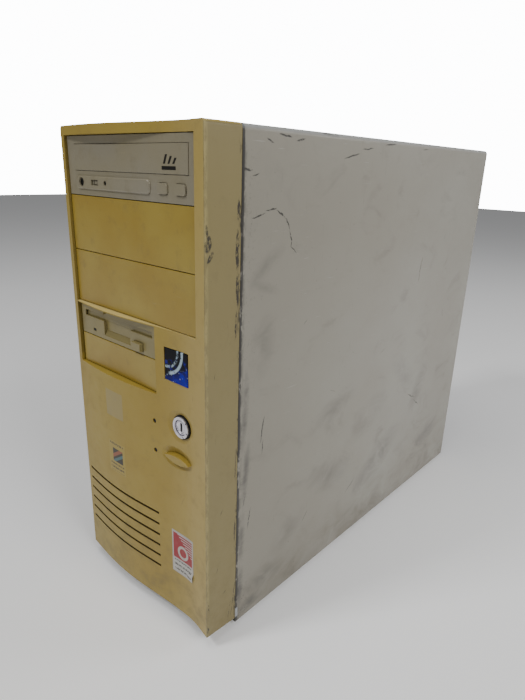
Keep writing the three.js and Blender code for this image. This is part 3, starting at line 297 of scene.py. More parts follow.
def made_once(build):
    """Keeps one material for each finish, however many pieces take it."""
    def kept(*details, name=build.__name__):
        return bpy.data.materials.get(name) or build(name, *details)
    return kept


def tones():
    return bpy.context.scene.tower_colours


@made_once
def aged_plastic(name, light, deep, share, shade_depth):
    """Moulded plastic gone yellow: clouds, grain, specks, and painted shade on every surface deeper than the
    given depth (mm) behind the drive face.
    """
    f = Finish(name)
    colours = tones()
    cloud = f.noise(55, 3.0)
    f.colour = f.mix(getattr(colours, light), getattr(colours, deep), cloud.rise(0.32, 0.68) * share)
    haze = f.noise(9, 5.0, 0.65)
    f.over("#665a3a", haze.rise(0.5, 0.85) * 0.35)
    specks = f.noise(1.6, 3.0, 0.6)
    f.over(tones().grime, specks.rise(0.7, 0.78) * 0.55)
    rubs = f.noise(2.2, 4.0, 0.7, (9, 1, 1), (0.0, 0.5, 0.7))
    f.over("#b0a274", rubs.rise(0.64, 0.8) * 0.3)
    # painted shade: every surface lying deeper than the given depth behind the drive face, in gaps, pockets and
    # slots, is painted dark
    recess_shade = f.y.rise(DRIVE_FACE + shade_depth * MM, DRIVE_FACE + (shade_depth + 1.6) * MM)
    f.over(tones().grime, recess_shade * 0.85)
    grain = f.noise(0.55, 3.0, 0.6)
    f.bump(grain + haze * 0.8, 0.06, 0.5)
    return f.paint(haze * 0.2 + 0.24)


@made_once
def bezel_plastic(name):
    """The bezel's yellowed plastic, with its chipped corner, dirty seam and a removed sticker's pale ghost,
    plus painted light and shade: a paler right part of the front, a darker right side, darker recesses, slit
    walls and side-facing walls, and lighter up-facing ledges.
    """
    f = Finish(name)
    colours = tones()
    cloud = f.noise(70, 3.0)
    f.colour = f.mix(colours.yellowed, colours.yellowed_dark, cloud.rise(0.3, 0.7) * 0.55)
    # painted light: the right part of the front is painted paler, as if lit from the right
    lit_right_part = f.x.rise(24 * MM, 78 * MM) * f.x.rise(RIGHT - 1.0 * MM, RIGHT - 0.2 * MM).flip()
    f.over("#b39d5f", lit_right_part * 0.6)
    # painted shade: the right side face is painted darker than the front; the same mask keeps the marks below
    # to that side
    sides = f.x.rise(RIGHT - 1.2 * MM, RIGHT - 0.2 * MM)
    f.over("#786e4b", sides * 0.85)
    haze = f.noise(11, 5.0, 0.65)
    f.over("#6f6140", haze.rise(0.5, 0.85) * 0.35)
    low = f.z.rise(0.01, 0.12).flip()
    f.over("#75683f", low * haze.rise(0.35, 0.7) * 0.4)
    front = f.rippled(f.x, f.z, 3, 1.2)
    ghost = f.x.within(-37.5 * MM, -14.5 * MM, 0.7 * MM) * f.z.within(166 * MM, 189 * MM, 0.7 * MM)
    ghost = ghost * f.y.rise(DRIVE_FACE - 1.0 * MM, DRIVE_FACE).flip()
    f.over("#958a66", ghost * (haze * 0.7 + 0.2))
    scuff = f.strokes(front, [
        ((-6, 84), 12, 1.6, -10, 1.0), ((-18, 62), 9, 1.2, 20, 0.7), ((2, 52), 14, 1.0, -30, 0.6),
        ((52, 120), 16, 1.2, 65, 0.6), ((-60, 36), 10, 2.0, -40, 0.7), ((66, 210), 9, 1.0, 80, 0.6),
        ((-30, 152), 26, 0.8, 8, 0.4), ((20, 20), 22, 0.9, 15, 0.5), ((70, 150), 60, 0.7, 86, 0.35),
    ]).rise(0.05, 0.7)
    f.over("#4e4430", scuff * 0.45)
    # the right side: the seam's dirt, the chipped corner, scratches and the slit low down
    seam_dirt = f.y.rise(SEAM - 3.2 * MM, SEAM - 0.2 * MM)
    ragged = f.noise(4.5, 5.0, 0.7, (1, 1, 3.2))
    f.over(colours.grime, seam_dirt * ragged.rise(0.5, 0.62) * 0.85)
    side = f.rippled(f.y, f.z, 2.4, 2.2)
    marks = f.strokes(side, [
        ((-212.5, 318), 12, 7, 80, 2.2), ((-210.5, 310), 10, 4, 55, 1.6), ((-213.5, 326), 10, 3, 90, 1.6),
        ((-213, 352), 5, 1.2, 90, 1.0), ((-186.8, 312), 34, 4.2, 90, 1.6), ((-186, 338), 18, 3.6, 90, 1.5),
        ((-186.4, 286), 26, 3.6, 92, 1.5), ((-187.5, 262), 26, 2.4, 88, 1.2), ((-186, 150), 40, 1.2, 90, 0.8),
        ((-186, 96), 30, 1.6, 90, 0.9), ((-200, 120), 9, 1.6, 60, 0.6), ((-204, 70), 14, 1.0, 75, 0.5),
        ((-196, 44), 10, 2.4, 30, 0.45), ((-207, 230), 12, 1.0, 85, 0.5), ((-213, 40), 18, 1.4, 90, 0.8),
        ((-214, 18), 9, 2.6, 90, 1.1), ((-186.5, 34), 50, 1.0, 82, 1.6), ((-191, 22), 26, 0.7, 80, 1.0),
        ((-206, 180), 26, 0.8, 88, 0.35), ((-195, 260), 30, 0.7, 91, 0.4),
    ]).rise(0.12, 0.6)
    crumbled = f.noise(2.6, 5.0, 0.75, (1, 1, 2.2)).rise(0.4, 0.52)
    f.over(colours.grime, marks * crumbled * sides * 0.92)
    edge = f.x.rise(RIGHT - 2.4 * MM, RIGHT - 0.4 * MM) * f.y.rise(-214 * MM, -211.5 * MM).flip()
    worn = f.noise(5, 4.0, 0.7, (1, 1, 2.5))
    f.over("#b8a96c", edge * worn.rise(0.4, 0.6) * 0.35)
    f.over(colours.grime, edge * worn.rise(0.66, 0.72) * 0.7)
    specks = f.noise(1.7, 3.0, 0.6)
    f.over(colours.grime, specks.rise(0.71, 0.78) * 0.5)
    # painted shade inside the front: recesses behind the drive face and the grille slits' walls are painted
    # dark
    inner = f.x.within(LEFT + 3 * MM, RIGHT - 3 * MM, 0.5 * MM) * f.z.rise(TOP - 3 * MM, TOP - 2 * MM).flip()
    recess_shade = inner * f.y.rise(DRIVE_FACE + 0.8 * MM, DRIVE_FACE + 2.4 * MM)
    facing = f.tree.nodes.new("ShaderNodeSeparateXYZ")
    f.tree.links.new(f.place.node.outputs["Normal"], facing.inputs[0])
    level = Wire(f.tree, facing.outputs[2])
    slit_wall_shade = level.size().rise(0.75, 0.9) * inner * f.z.rise(112 * MM, 120 * MM).flip()
    recess_shade = recess_shade.top(slit_wall_shade)
    # painted shade: side-facing walls inside the front above 205 mm are painted darker
    shaded_walls = Wire(f.tree, facing.outputs[0]).size().rise(0.8, 0.95) * inner * f.z.rise(205 * MM, 210 * MM)
    f.over("#4f4222", shaded_walls * 0.5)
    # painted light: up-facing ledges above 205 mm are painted paler, as if lit from above
    lit_ledges = level.rise(0.6, 0.9) * inner * f.z.rise(205 * MM, 210 * MM)
    f.over("#d6c27e", lit_ledges * 0.8)
    # the lock and button dishes are kept clear of this painted shade
    clear_of_dishes = f.z.within(136 * MM, 206 * MM, 2 * MM).flip()
    f.over(colours.grime, recess_shade * clear_of_dishes * 0.85)
    grain = f.noise(0.5, 3.0, 0.6)
    f.bump(grain + haze * 0.8 - marks * 1.5, 0.06, 0.5)
    return f.paint(haze * 0.25 + 0.36)


@made_once
def cover_paint(name):
    """The cover's baked paint: orange peel, smears, fine scratches, black scuffs, dirt at the front, painted
    shade darkening it towards the front, and a painted highlight along the top rim.
    """
    f = Finish(name)
    colours = tones()
    cloud = f.noise(130, 3.0, 0.5)
    f.colour = f.mix(colours.paint, linear("#8f897d"), cloud.rise(0.3, 0.7) * 0.6)
    # painted shade: the cover is painted darker towards the front
    shade_to_front = f.y.rise(-200 * MM, 90 * MM).flip()
    f.over("#807b6d", shade_to_front * 0.75)
    smear = f.noise(26, 5.0, 0.62, (1, 1.6, 1), (0.5, 0, 0), 0.6)
    f.over("#6d6962", smear.rise(0.54, 0.8) * 0.42)
    low = f.z.rise(4 * MM, 60 * MM).flip()
    f.over("#6a6252", low * smear.rise(0.3, 0.7) * 0.5)
    fine = f.noise(1.1, 3.0, 0.6, (1, 1, 26), (0.24, 0, 0))
    f.over("#605d56", fine.rise(0.66, 0.76) * 0.35)
    across = f.noise(1.2, 2.0, 0.6, (1, 22, 1), (-0.4, 0, 0))
    f.over("#b4b2ab", across.rise(0.69, 0.8) * 0.4)
    on_right = f.x.rise(RIGHT - 3 * MM, RIGHT - 1.5 * MM)
    side = f.rippled(f.y, f.z, 5, 3.4)
    scuffs = f.strokes(side, [
        ((-143, 384), 16, 1.8, -6, 1.6), ((-127, 382), 12, 1.6, 12, 1.4), ((-158, 380), 10, 1.4, -15, 1.2),
        ((-62, 374), 26, 1.5, 12, 1.6), ((-40, 380), 20, 1.4, 6, 1.4), ((-4, 385), 22, 1.8, 4, 1.3),
        ((60, 384), 18, 1.0, 3, 0.8), ((-179, 362), 11, 1.8, -4, 1.7), ((-171, 359), 8, 1.2, 10, 1.0),
        ((-168, 333), 16, 1.5, 12, 1.3), ((-155, 337), 16, 1.4, 8, 1.2), ((-145, 334), 14, 1.6, -28, 1.4),
        ((-137, 327), 14, 1.4, -55, 1.2), ((-133, 316), 16, 1.5, -72, 1.3), ((-129, 308), 12, 1.2, -45, 1.0),
        ((-157, 173), 26, 1.6, 82, 1.7), ((-156, 158), 16, 1.2, 86, 1.1), ((-170, 99), 24, 1.3, 80, 1.3),
        ((-176, 118), 18, 1.0, 74, 0.9), ((80, 274), 22, 1.2, 78, 1.4), ((79, 262), 14, 1.0, 84, 0.9),
        ((96, 124), 26, 1.3, -28, 1.2), ((110, 112), 26, 1.1, -36, 1.0), ((20, 196), 16, 0.8, 20, 0.6),
        ((-20, 60), 30, 1.0, 32, 0.8), ((-95, 62), 18, 0.9, 50, 0.8), ((128, 300), 12, 0.9, 75, 0.7),
        ((150, 210), 22, 0.9, -70, 0.7), ((-110, 250), 10, 0.9, 40, 0.6), ((-64, 178), 14, 0.8, -20, 0.6),
    ]).rise(0.08, 0.6)
    broken = f.noise(2.6, 4.0, 0.7).rise(0.32, 0.5)
    f.over("#1f1c1a", scuffs * broken * on_right * 0.9)
    smudges = f.strokes(side, [
        ((-157, 300), 50, 16, 35, 0.55), ((-160, 285), 40, 10, -20, 0.5), ((0, 130), 90, 40, 20, 0.5),
        ((-60, 90), 80, 36, -10, 0.5), ((-120, 60), 60, 30, 30, 0.5), ((70, 160), 80, 30, -40, 0.4),
        ((-150, 30), 60, 26, 0, 0.9), ((-166, 14), 36, 16, 10, 1.2), ((-177, 196), 70, 9, 87, 1.5),
        ((-175, 140), 60, 9, 84, 1.5), ((-178, 84), 60, 8, 88, 1.4), ((-179, 40), 50, 9, 88, 1.6),
        ((-160, 240), 60, 30, 80, 0.6), ((30, 70), 110, 40, 30, 0.9), ((110, 130), 70, 30, 60, 0.7),
        ((-60, 160), 90, 26, 20, 0.6), ((150, 60), 80, 30, 10, 0.7),
    ])
    f.over("#57534d", (smudges * smear.rise(0.28, 0.62) * on_right).low(1.0) * 0.85)
    # dark dirt and bare metal along the front edge, dirt specks over the lower front corner
    front_edge = f.y.rise(COVER_LOW.y + 0.4 * MM, COVER_LOW.y + 5.5 * MM).flip()
    ragged = f.noise(6, 5.0, 0.7, (1, 1, 2.4))
    f.over("#2b2824", front_edge * ragged.rise(0.42, 0.56) * 0.9)
    lip = f.y.rise(COVER_LOW.y + 1.6 * MM, COVER_LOW.y + 2.6 * MM).flip()
    f.over(colours.grime, lip * ragged.rise(0.34, 0.44) * 0.9)
    bare = f.y.rise(COVER_LOW.y + 2.2 * MM, COVER_LOW.y + 3 * MM).flip() * f.z.within(9 * MM, 18 * MM, 1 * MM)
    f.over("#c3c6c8", bare * 0.6)
    near_edge = f.y.rise(COVER_LOW.y, COVER_LOW.y + 34 * MM).flip()
    specks = f.noise(2.0, 4.0, 0.66)
    dirt = near_edge * near_edge * specks.rise(0.56, 0.66) * (low * 0.7 + 0.3)
    f.over("#332b22", dirt * 0.9)
    sparse = f.noise(2.4, 3.0, 0.6)
    f.over("#35302a", sparse.rise(0.72, 0.77) * 0.7)
    # painted highlight: the cover's rounded top edge is painted paler, as if lit from above; the darker patches
    # on it are wear
    rim = f.z.rise(TOP - 3.6 * MM, TOP - 1.2 * MM)
    worn = f.noise(8, 4.0, 0.7, (1, 3, 1))
    f.over("#b9c0c6", rim * 0.35)
    f.over("#4d4b48", rim * worn.rise(0.56, 0.7) * 0.6)
    peel = f.noise(1.5, 2.0, 0.5)
    f.bump(peel * 0.7 + cloud * 2.0 - scuffs * 0.8, 0.07, 0.45)
    return f.paint(smear * 0.3 + 0.3, 0.0, 0.12)


@made_once
def sheet_steel(name, colour_name, spangle):
    """Zinc-plated or bare steel: crystalline spangle, rolling marks, dull patches and a little white rust."""
    f = Finish(name)
    base = tones().zinc if colour_name == "zinc" else linear(colour_name)
    grains = f.cells(spangle)
    f.colour = f.mix(base, linear("#7d8285"), grains.rise(0.15, 0.75) * 0.45)
    dull = f.noise(38, 4.0, 0.6)
    f.over("#b9bab4", dull.rise(0.5, 0.75) * 0.35)
    dust = f.noise(5, 5.0, 0.7)
    f.over("#6c665a", dust.rise(0.56, 0.8) * 0.4)
    rolled = f.noise(0.8, 2.0, 0.5, (1, 30, 1))
    f.bump(rolled + grains * 0.4, 0.03, 0.35)
    return f.paint(dull * 0.3 + 0.22 + dust * 0.1, 0.85)


@made_once
def bright_metal(name, code, roughness):
    """Plated or turned metal with tarnish and fine wear."""
    f = Finish(name)
    tarnish = f.noise(4, 5.0, 0.7)
    f.colour = f.mix(linear(code), linear("#6d675e"), tarnish.rise(0.5, 0.8) * 0.5)
    scratch = f.noise(0.35, 3.0, 0.6, (6, 6, 1))
    f.bump(scratch, 0.02, 0.4)
    return f.paint(tarnish * 0.3 + roughness, 0.95)


@made_once
def moulded(name, code, dusty, roughness):
    """Plain moulded plastic or rubber: fine grain, and dust that lies in patches."""
    f = Finish(name)
    dust = f.noise(7, 5.0, 0.7)
    f.colour = f.mix(linear(code), linear(dusty), dust.rise(0.45, 0.8) * 0.45)
    grain = f.noise(0.5, 3.0, 0.6)
    f.bump(grain + dust, 0.06, 0.5)
    f.shader.inputs["Specular IOR Level"].default_value = 0.25
    return f.paint(dust * 0.2 + roughness)


@made_once
def circuit_board(name, raised=None):
    """Solder resist over copper tracks; dark parts where raised says so, steel brackets, black rear sockets."""
    f = Finish(name)
    deep = f.noise(30, 2.0)
    f.colour = f.mix(linear("#0f4a2a"), linear("#1d6238"), deep.rise(0.35, 0.65))
    tracks = (f.y * 900.0 + f.noise(18, 0.0) * 14.0).calc("SINE")
    runs = f.noise(24, 1.0).rise(0.48, 0.52)
    f.over("#2f8048", tracks.rise(0.1, 0.5) * runs * 0.8)
    cross = (f.z * 1100.0 + f.noise(15, 0.0) * 12.0).calc("SINE")
    f.over("#2b7a45", cross.rise(0.2, 0.6) * runs.flip() * 0.7)
    dots = f.cells(3.4)
    f.over("#b9bab6", dots.rise(0.1, 0.16).flip() * 0.9)
    if raised:
        parts = raised(f)
        print_on_chip = f.noise(1.2, 2.0, 0.6, (3, 3, 1)).rise(0.62, 0.66)
        f.over(f.mix(linear("#151516"), linear("#5a5a58"), print_on_chip * 0.5), parts)
        bracket = f.y.within(208.3 * MM, 210.1 * MM, 0.1 * MM).top(f.x.rise(-42.2 * MM, -42.0 * MM).flip())
        f.over("#94989a", bracket)
        f.over("#111113", f.y.rise(210.1 * MM, 210.3 * MM))
        f.tree.links.new((bracket * 0.85).socket, f.shader.inputs["Metallic"])
    dust = f.noise(12, 5.0, 0.7)
    f.over("#847c6c", dust.rise(0.5, 0.85) * 0.5)
    f.bump(tracks * 0.3 + dots.rise(0.1, 0.2).flip(), 0.08, 0.5)
    return f.paint(dust * 0.3 + 0.3)


@made_once
def ribbon_strands(name):
    """Grey ribbon cable: ridged conductors."""
    f = Finish(name)
    ridge = (f.x * (2 * math.pi / (1.27 * MM))).calc("SINE")
    # painted shade: the grooves between conductors are painted darker than the crests
    f.colour = f.mix(linear("#8f9193"), linear("#b2b3b3"), ridge.rise(-0.6, 0.8))
    dust = f.noise(14, 5.0, 0.7)
    f.over("#7a7468", dust.rise(0.5, 0.8) * 0.5)
    f.bump(ridge, 0.25, 0.7)
    return f.paint(0.5)


@made_once
def twisted_leads(name, first, second):
    """A bundle of leads under a thin sleeve, twisted together."""
    f = Finish(name)
    twist = ((f.x + f.y + f.z) * (2 * math.pi / (7 * MM)) + f.noise(6) * 3.0).calc("SINE")
    f.colour = f.mix(linear(first), linear(second), twist.rise(-0.1, 0.1))
    dust = f.noise(9, 4.0, 0.7)
    f.over("#6f695e", dust.rise(0.5, 0.85) * 0.4)
    f.bump(twist, 0.5, 0.7)
    return f.paint(dust * 0.15 + 0.4)


@made_once
def badge_print(name):
    """The badge: near-black, blue at the foot, with a pale sweep and loose flecks."""
    f = Finish(name)
    x_mid = (BADGE_LOW.x + BADGE_HIGH.x) / 2
    z_mid = (BADGE_LOW.z + BADGE_HIGH.z) / 2
    across, up = (f.x - x_mid) / (12 * MM), (f.z - z_mid) / (12 * MM)
    mottle = f.noise(2.0, 4.0, 0.7)
    foot = (up * -1.0 + across * 0.4).rise(0.1, 1.2)
    f.colour = f.mix(linear("#020208"), linear("#0c0c96"), foot * (mottle * 0.8 + 0.5).low(1.0))
    glow = f.noise(4.2, 3.0, 0.6)
    f.over("#1212a8", glow.rise(0.48, 0.66) * up.rise(0.75, 0.3) * 0.8)
    reach = ((across + 0.9) * (across + 0.9) + (up - 0.9) * (up - 0.9)).calc("SQRT")
    sweep = ((reach - 1.45).size()).rise(0.05, 0.14).flip() * across.rise(-0.8, -0.5) * up.rise(-0.85, -0.6)
    inner = ((reach - 1.05).size()).rise(0.04, 0.12).flip() * mottle.rise(0.46, 0.54)
    flecks = f.cells(3.1).rise(0.14, 0.22).flip() * up.rise(0.3, -0.1)
    pale = (sweep * mottle.rise(0.36, 0.46)).top(inner * 0.8).top(flecks * 0.6)
    f.over("#a9bcc9", pale)
    f.bump(mottle, 0.03, 0.3)
    f.shader.inputs["Specular IOR Level"].default_value = 0.12
    return f.paint(mottle * 0.15 + 0.3)


@made_once
def ticket_print(name, x_mid, z_mid, wide, tall):
    """A worn sticker: a red field with fine white stripes in one corner and a plain ring, over grey bars."""
    f = Finish(name)
    colours = tones()
    across = (f.x - x_mid) / (wide / 2)
    up = (f.z - z_mid) / (tall / 2)
    field = up.rise(-0.3, -0.27) * up.rise(0.9, 0.92).flip() * across.size().rise(0.86, 0.9).flip()
    stripes = (up * 58.0).calc("SINE").rise(0.1, 0.5)
    corner = (across * 0.62 + up).rise(0.56, 0.6) * across.rise(-0.62, -0.58)
    ring = ((across * across + (up - 0.1) * (up - 0.1) * 2.4).calc("SQRT") - 0.4).size()
    ring = ring.rise(0.07, 0.11).flip()
    fade = f.noise(6, 4.0, 0.7)
    red = f.mix(colours.label_red, linear("#a02c38"), fade.rise(0.4, 0.75) * 0.6)
    red = f.mix(red, colours.label_white, (stripes * corner).top(ring) * 0.9)
    f.colour = f.mix(colours.label_white, red, field)
    rows = (up * 29.0).calc("SINE").rise(0.0, 0.3)
    blocks = f.noise(1.1, 2.0, 0.6, (1.4, 1, 0.5)).rise(0.42, 0.5)
    lower = up.rise(-0.36, -0.34).flip() * up.rise(-0.9, -0.88) * across.size().rise(0.8, 0.82).flip()
    f.over("#3c3834", rows * blocks * lower * 0.9)
    dirt = f.noise(4, 5.0, 0.7)
    rim = across.size().top(up.size()).rise(0.84, 1.04)
    f.over("#6d6454", (dirt.rise(0.5, 0.75) * 0.4 + rim * 0.35).low(1.0))
    f.bump(dirt, 0.05, 0.4)
    return f.paint(0.42)


@made_once
def small_print(name, x_mid, z_mid, wide, tall):
    """A little worn transfer: a dark slanted block crossed by two faded bands, between rows of small marks."""
    f = Finish(name)
    across = (f.x - x_mid) / (wide / 2)
    up = (f.z - z_mid) / (tall / 2)
    rough = f.noise(1.4, 4.0, 0.7)
    slant = up - across * 0.5
    band = slant.within(0.16, 0.4, 0.02)
    second = slant.within(-0.2, 0.0, 0.02)
    ink = f.mix(linear("#1c1a16"), linear("#8a4a2c"), band)
    ink = f.mix(ink, linear("#3c6468"), second)
    block = up.within(-0.3, 0.56, 0.02) * across.within(-0.5, 0.72, 0.03)
    worn = (across + rough * 1.5).rise(-0.1, 0.2)
    f.colour = f.mix(tones().yellowed, ink, block * worn * 0.95)
    rows = (up * 24.0).calc("SINE").rise(-0.2, 0.2) * rough.rise(0.44, 0.5)
    lines = up.within(-0.95, -0.42, 0.02) + up.within(0.74, 0.96, 0.02)
    f.over("#2c271e", rows * lines * across.size().rise(0.8, 0.84).flip() * 0.85)
    haze = f.noise(11, 5.0, 0.65)
    f.bump(haze, 0.05, 0.3)
    return f.paint(0.42)


FINISH_OF_SLOT = {
    "yellowed_plastic": lambda: aged_plastic("yellowed", "yellowed_dark", 0.8, 1.0, name="yellowed_blank"),
    "beige_plastic": lambda: aged_plastic("beige", "beige_warm", 0.35, 0.5, name="drive_beige"),
    "badge_blue": badge_print,
    "lamp_green": lambda: moulded("#040504", "#0a0b08", 0.3, name="lamp_lens"),
    "black_plastic": lambda: moulded("#101011", "#3d3a34", 0.5, name="black_resin"),
    "red_plastic": lambda: moulded("#9c1a20", "#6e5148", 0.42, name="red_resin"),
    "lock_chrome": lambda: bright_metal("#dedbe2", 0.3, name="lock_plating"),
    "painted_steel": cover_paint,
    "zinc_steel": lambda: sheet_steel("zinc", 4.5, name="zinc_sheet"),
    "bright_steel": lambda: bright_metal("#c9c9c6", 0.24, name="bright_steel"),
    "cast_aluminium": lambda: sheet_steel("#8e9194", 1.2, name="cast_metal"),
    "board_resin": circuit_board,
    "ceramic": lambda: moulded("#5b4a3c", "#80766a", 0.45, name="chip_ceramic"),
    "ribbon_grey": ribbon_strands,
    "lead_sleeve": lambda: twisted_leads("#1f1f21", "#8c2422", name="twisted_leads"),
    "foot_rubber": lambda: moulded("#141414", "#4d4a45", 0.75, name="foot_rubber"),
}


# ------------------------------------------------------------------ modelling by hand
def clear():
    if bpy.context.mode != "OBJECT":
        bpy.ops.object.mode_set(mode="OBJECT")
    bpy.ops.object.select_all(action="DESELECT")


def hold(piece):
    clear()
    piece.select_set(True)
    bpy.context.view_layer.objects.active = piece


def settled(name):
    """Puts the active primitive's place into its mesh and names it."""
    piece = bpy.context.active_object
    hold(piece)
    bpy.ops.object.transform_apply(location=True, rotation=True, scale=True)
    piece.name = name
    piece.data.name = name
    return piece


def block(name, low, high):
    clear()
    middle = (Vector(low) + Vector(high)) / 2
    bpy.ops.mesh.primitive_cube_add(size=1, location=middle, scale=Vector(high) - Vector(low))
    return settled(name)


def off(origin, *steps):
    """The point that lies steps mm from an origin."""
    return tuple(start + step * MM for start, step in zip(origin, steps))


TURN = {"x": (0, math.pi / 2, 0), "y": (math.pi / 2, 0, 0), "z": (0, 0, 0)}


def rod(name, axis, radius, start, end, at, sides=48):
    """A round bar along an axis between start and end, through the point at."""
    clear()
    middle = Vector(at)
    setattr(middle, axis, (start + end) / 2)
    bpy.ops.mesh.primitive_cylinder_add(
        vertices=sides, radius=radius, depth=abs(end - start), location=middle, rotation=TURN[axis])
    return settled(name)


def pick(piece, kind, test):
    """Enters edit mode with only the faces, edges or verts that pass the test selected."""
    hold(piece)
    bpy.ops.object.mode_set(mode="EDIT")
    bpy.ops.mesh.select_mode(type={"faces": "FACE", "edges": "EDGE", "verts": "VERT"}[kind])
    bpy.ops.mesh.select_all(action="DESELECT")
    mesh = bmesh.from_edit_mesh(piece.data)
    for item in getattr(mesh, kind):
        if test(item):
            item.select_set(True)
    mesh.select_flush_mode()
    bmesh.update_edit_mesh(piece.data)


def done():
    bpy.ops.object.mode_set(mode="OBJECT")


def apply_all(piece):
    hold(piece)
    for modifier in list(piece.modifiers):
        bpy.ops.object.modifier_apply(modifier=modifier.name)


def softened(piece, width, segments=2, angle=35.0):
    """Rounds the sharp edges and gives the flats clean shading."""
    hold(piece)
    if width:
        bevel = piece.modifiers.new("Edges", "BEVEL")
        bevel.width = width
        bevel.segments = segments
        bevel.limit_method = "ANGLE"
        bevel.angle_limit = math.radians(angle)
        bevel.use_clamp_overlap = True
        bevel.harden_normals = False
    bpy.ops.object.shade_smooth_by_angle(angle=math.radians(38))
    weighted = piece.modifiers.new("Shading", "WEIGHTED_NORMAL")
    weighted.keep_sharp = True
    weighted.weight = 60
    apply_all(piece)
    return piece


def cut(piece, *cutters):
    """Takes the cutters out of the piece."""
    for cutter in cutters:
        hold(piece)
        boolean = piece.modifiers.new("Cut", "BOOLEAN")
        boolean.operation = "DIFFERENCE"
        boolean.solver = "EXACT"
        boolean.object = cutter
        apply_all(piece)
        bpy.data.objects.remove(cutter)
    return piece


def joined(first, *others):
    clear()
    for other in others:
        other.select_set(True)
    first.select_set(True)
    bpy.context.view_layer.objects.active = first
    if others:
        bpy.ops.object.join()
    return first


def outwards(piece):
    pick(piece, "faces", lambda face: True)
    bpy.ops.mesh.remove_doubles(threshold=1e-6)
    bpy.ops.mesh.normals_make_consistent(inside=False)
    done()
    return piece


def dressed(piece, body, slot, *nodes, finish=None):
    """Gives a finished piece its material, the body that it moves with and the nodes it stands for."""
    piece.data.materials.clear()
    piece.data.materials.append(finish or FINISH_OF_SLOT[slot]())
    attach(piece, body)
    if nodes:
        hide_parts(*nodes)
    return piece


def copied(node, name):
    """A copy of a node with its triangles merged into whole faces, ready to be worked on."""
    hold(frame["nodes"][node])
    bpy.ops.object.duplicate()
    piece = bpy.context.active_object
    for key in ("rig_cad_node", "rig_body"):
        if key in piece:
            del piece[key]
    piece.parent = None
    piece.matrix_world = Matrix.Identity(4)
    piece.name = name
    piece.data.name = name
    piece.data.materials.clear()
    hold(piece)
    bpy.ops.mesh.customdata_custom_splitnormals_clear()
    pick(piece, "faces", lambda face: True)
    bpy.ops.mesh.remove_doubles(threshold=2e-6)
    bpy.ops.mesh.dissolve_limited(angle_limit=math.radians(0.4))
    done()
    return piece


def refined(node, width, segments=2, finish=None, name=None):
    """A node's shape with its edges softened and its slot's finish, standing for the node."""
    slot = SLOT_OF[node]
    piece = softened(copied(node, name or node + "_piece"), width, segments)
    return dressed(piece, BODY_OF[node], slot, node, finish=finish)


def laid_on(target, name, x_mid, z_mid, wide, tall, lift, cuts=8):
    """A thin rectangular skin that follows the target's front face."""
    clear()
    bpy.ops.mesh.primitive_plane_add(
        size=1, location=(x_mid, DRIVE_FACE - 20 * MM, z_mid), rotation=(math.pi / 2, 0, 0))
    skin = settled(name)
    pick(skin, "verts", lambda vert: True)
    bpy.ops.transform.resize(
        value=(wide, 1, tall), center_override=(x_mid, DRIVE_FACE - 20 * MM, z_mid))
    bpy.ops.mesh.subdivide(number_cuts=cuts)
    done()
    wrap = skin.modifiers.new("Lay", "SHRINKWRAP")
    wrap.target = target
    wrap.wrap_method = "PROJECT"
    wrap.use_project_y = True
    wrap.use_positive_direction = True
    wrap.use_negative_direction = False
    wrap.offset = 0
    apply_all(skin)
    thick = skin.modifiers.new("Paper", "SOLIDIFY")
    thick.thickness = lift
    thick.offset = 1
    apply_all(skin)
    return outwards(skin)


# ------------------------------------------------------------------ the pieces
class TowerStep(bpy.types.Operator):
    bl_options = {"REGISTER", "UNDO"}

    def execute(self, context):
        self.build(context.scene.tower_sizes)
        return {"FINISHED"}


class TOWER_OT_stage(TowerStep):
    """Pale floor, soft studio lamps and the camera"""
    bl_idname = "tower.stage"
    bl_label = "Stage"

    def build(self, sizes):
        scene = bpy.context.scene
        azimuth, elevation, roll = (math.radians(a) for a in VIEW_ANGLES)
        back = Vector((math.sin(azimuth) * math.cos(elevation), -math.cos(azimuth) * math.cos(elevation),
                       math.sin(elevation)))
        level = (-back).cross(Vector((0, 0, 1))).normalized()
        upright = level.cross(-back)
        side = level * math.cos(roll) + upright * math.sin(roll)
        up = upright * math.cos(roll) - level * math.sin(roll)
        clear()
        bpy.ops.object.camera_add()
        camera = bpy.context.active_object
        camera.name = "camera"
        camera.matrix_world = Matrix.Translation(CAMERA_PLACE) @ Matrix(
            (side, up, back)).transposed().to_4x4()
        camera.data.sensor_fit = "AUTO"
        camera.data.sensor_width = 36
        camera.data.lens = LENS
        camera.data.clip_start = 0.01
        scene.camera = camera
        clear()
        bpy.ops.mesh.primitive_plane_add(size=12, location=(0, 0, -0.0005))
        floor = settled("floor")
        f = Finish("floor_paper")
        f.colour = f.mix((0.93, 0.93, 0.93, 1), (0.9, 0.9, 0.9, 1), f.noise(400, 3.0))
        floor.data.materials.append(f.paint(0.9))
        f.shader.inputs["Emission Color"].default_value = (1, 1, 1, 1)
        f.shader.inputs["Emission Strength"].default_value = 0.1
        world = bpy.data.worlds.new("studio")
        scene.world = world
        world.use_nodes = True
        tree = world.node_tree
        tree.nodes["Background"].inputs["Color"].default_value = (0.97, 0.985, 1.0, 1)
        seen = Wire(tree, tree.nodes.new("ShaderNodeLightPath").outputs["Is Camera Ray"])
        tree.links.new((seen * SKY_SEEN + SKY_LIGHT).socket, tree.nodes["Background"].inputs["Strength"])
        for place, wide, power in LAMPS:
            clear()
            bpy.ops.object.light_add(type="AREA", location=place)
            lamp = bpy.context.active_object
            lamp.data.shape = "SQUARE"
            lamp.data.size = wide
            lamp.data.energy = power
            aim = Vector((0, 0, 0.2)) - Vector(place)
            lamp.rotation_euler = aim.to_track_quat("-Z", "Y").to_euler()


class TOWER_OT_bezel(TowerStep):
    """The moulded bezel and its blanking plates"""
    bl_idname = "tower.bezel"
    bl_label = "Bezel and blanks"

    def build(self, sizes):
        shell = copied("front_bezel", "bezel_shell")
        softened(shell, sizes.moulded_round, 3, 30)
        dressed(shell, "chassis", "yellowed_plastic", "front_bezel", finish=bezel_plastic())
        for node in ("upper_blank", "lower_blank", "small_blank"):
            refined(node, sizes.blank_round, 3)


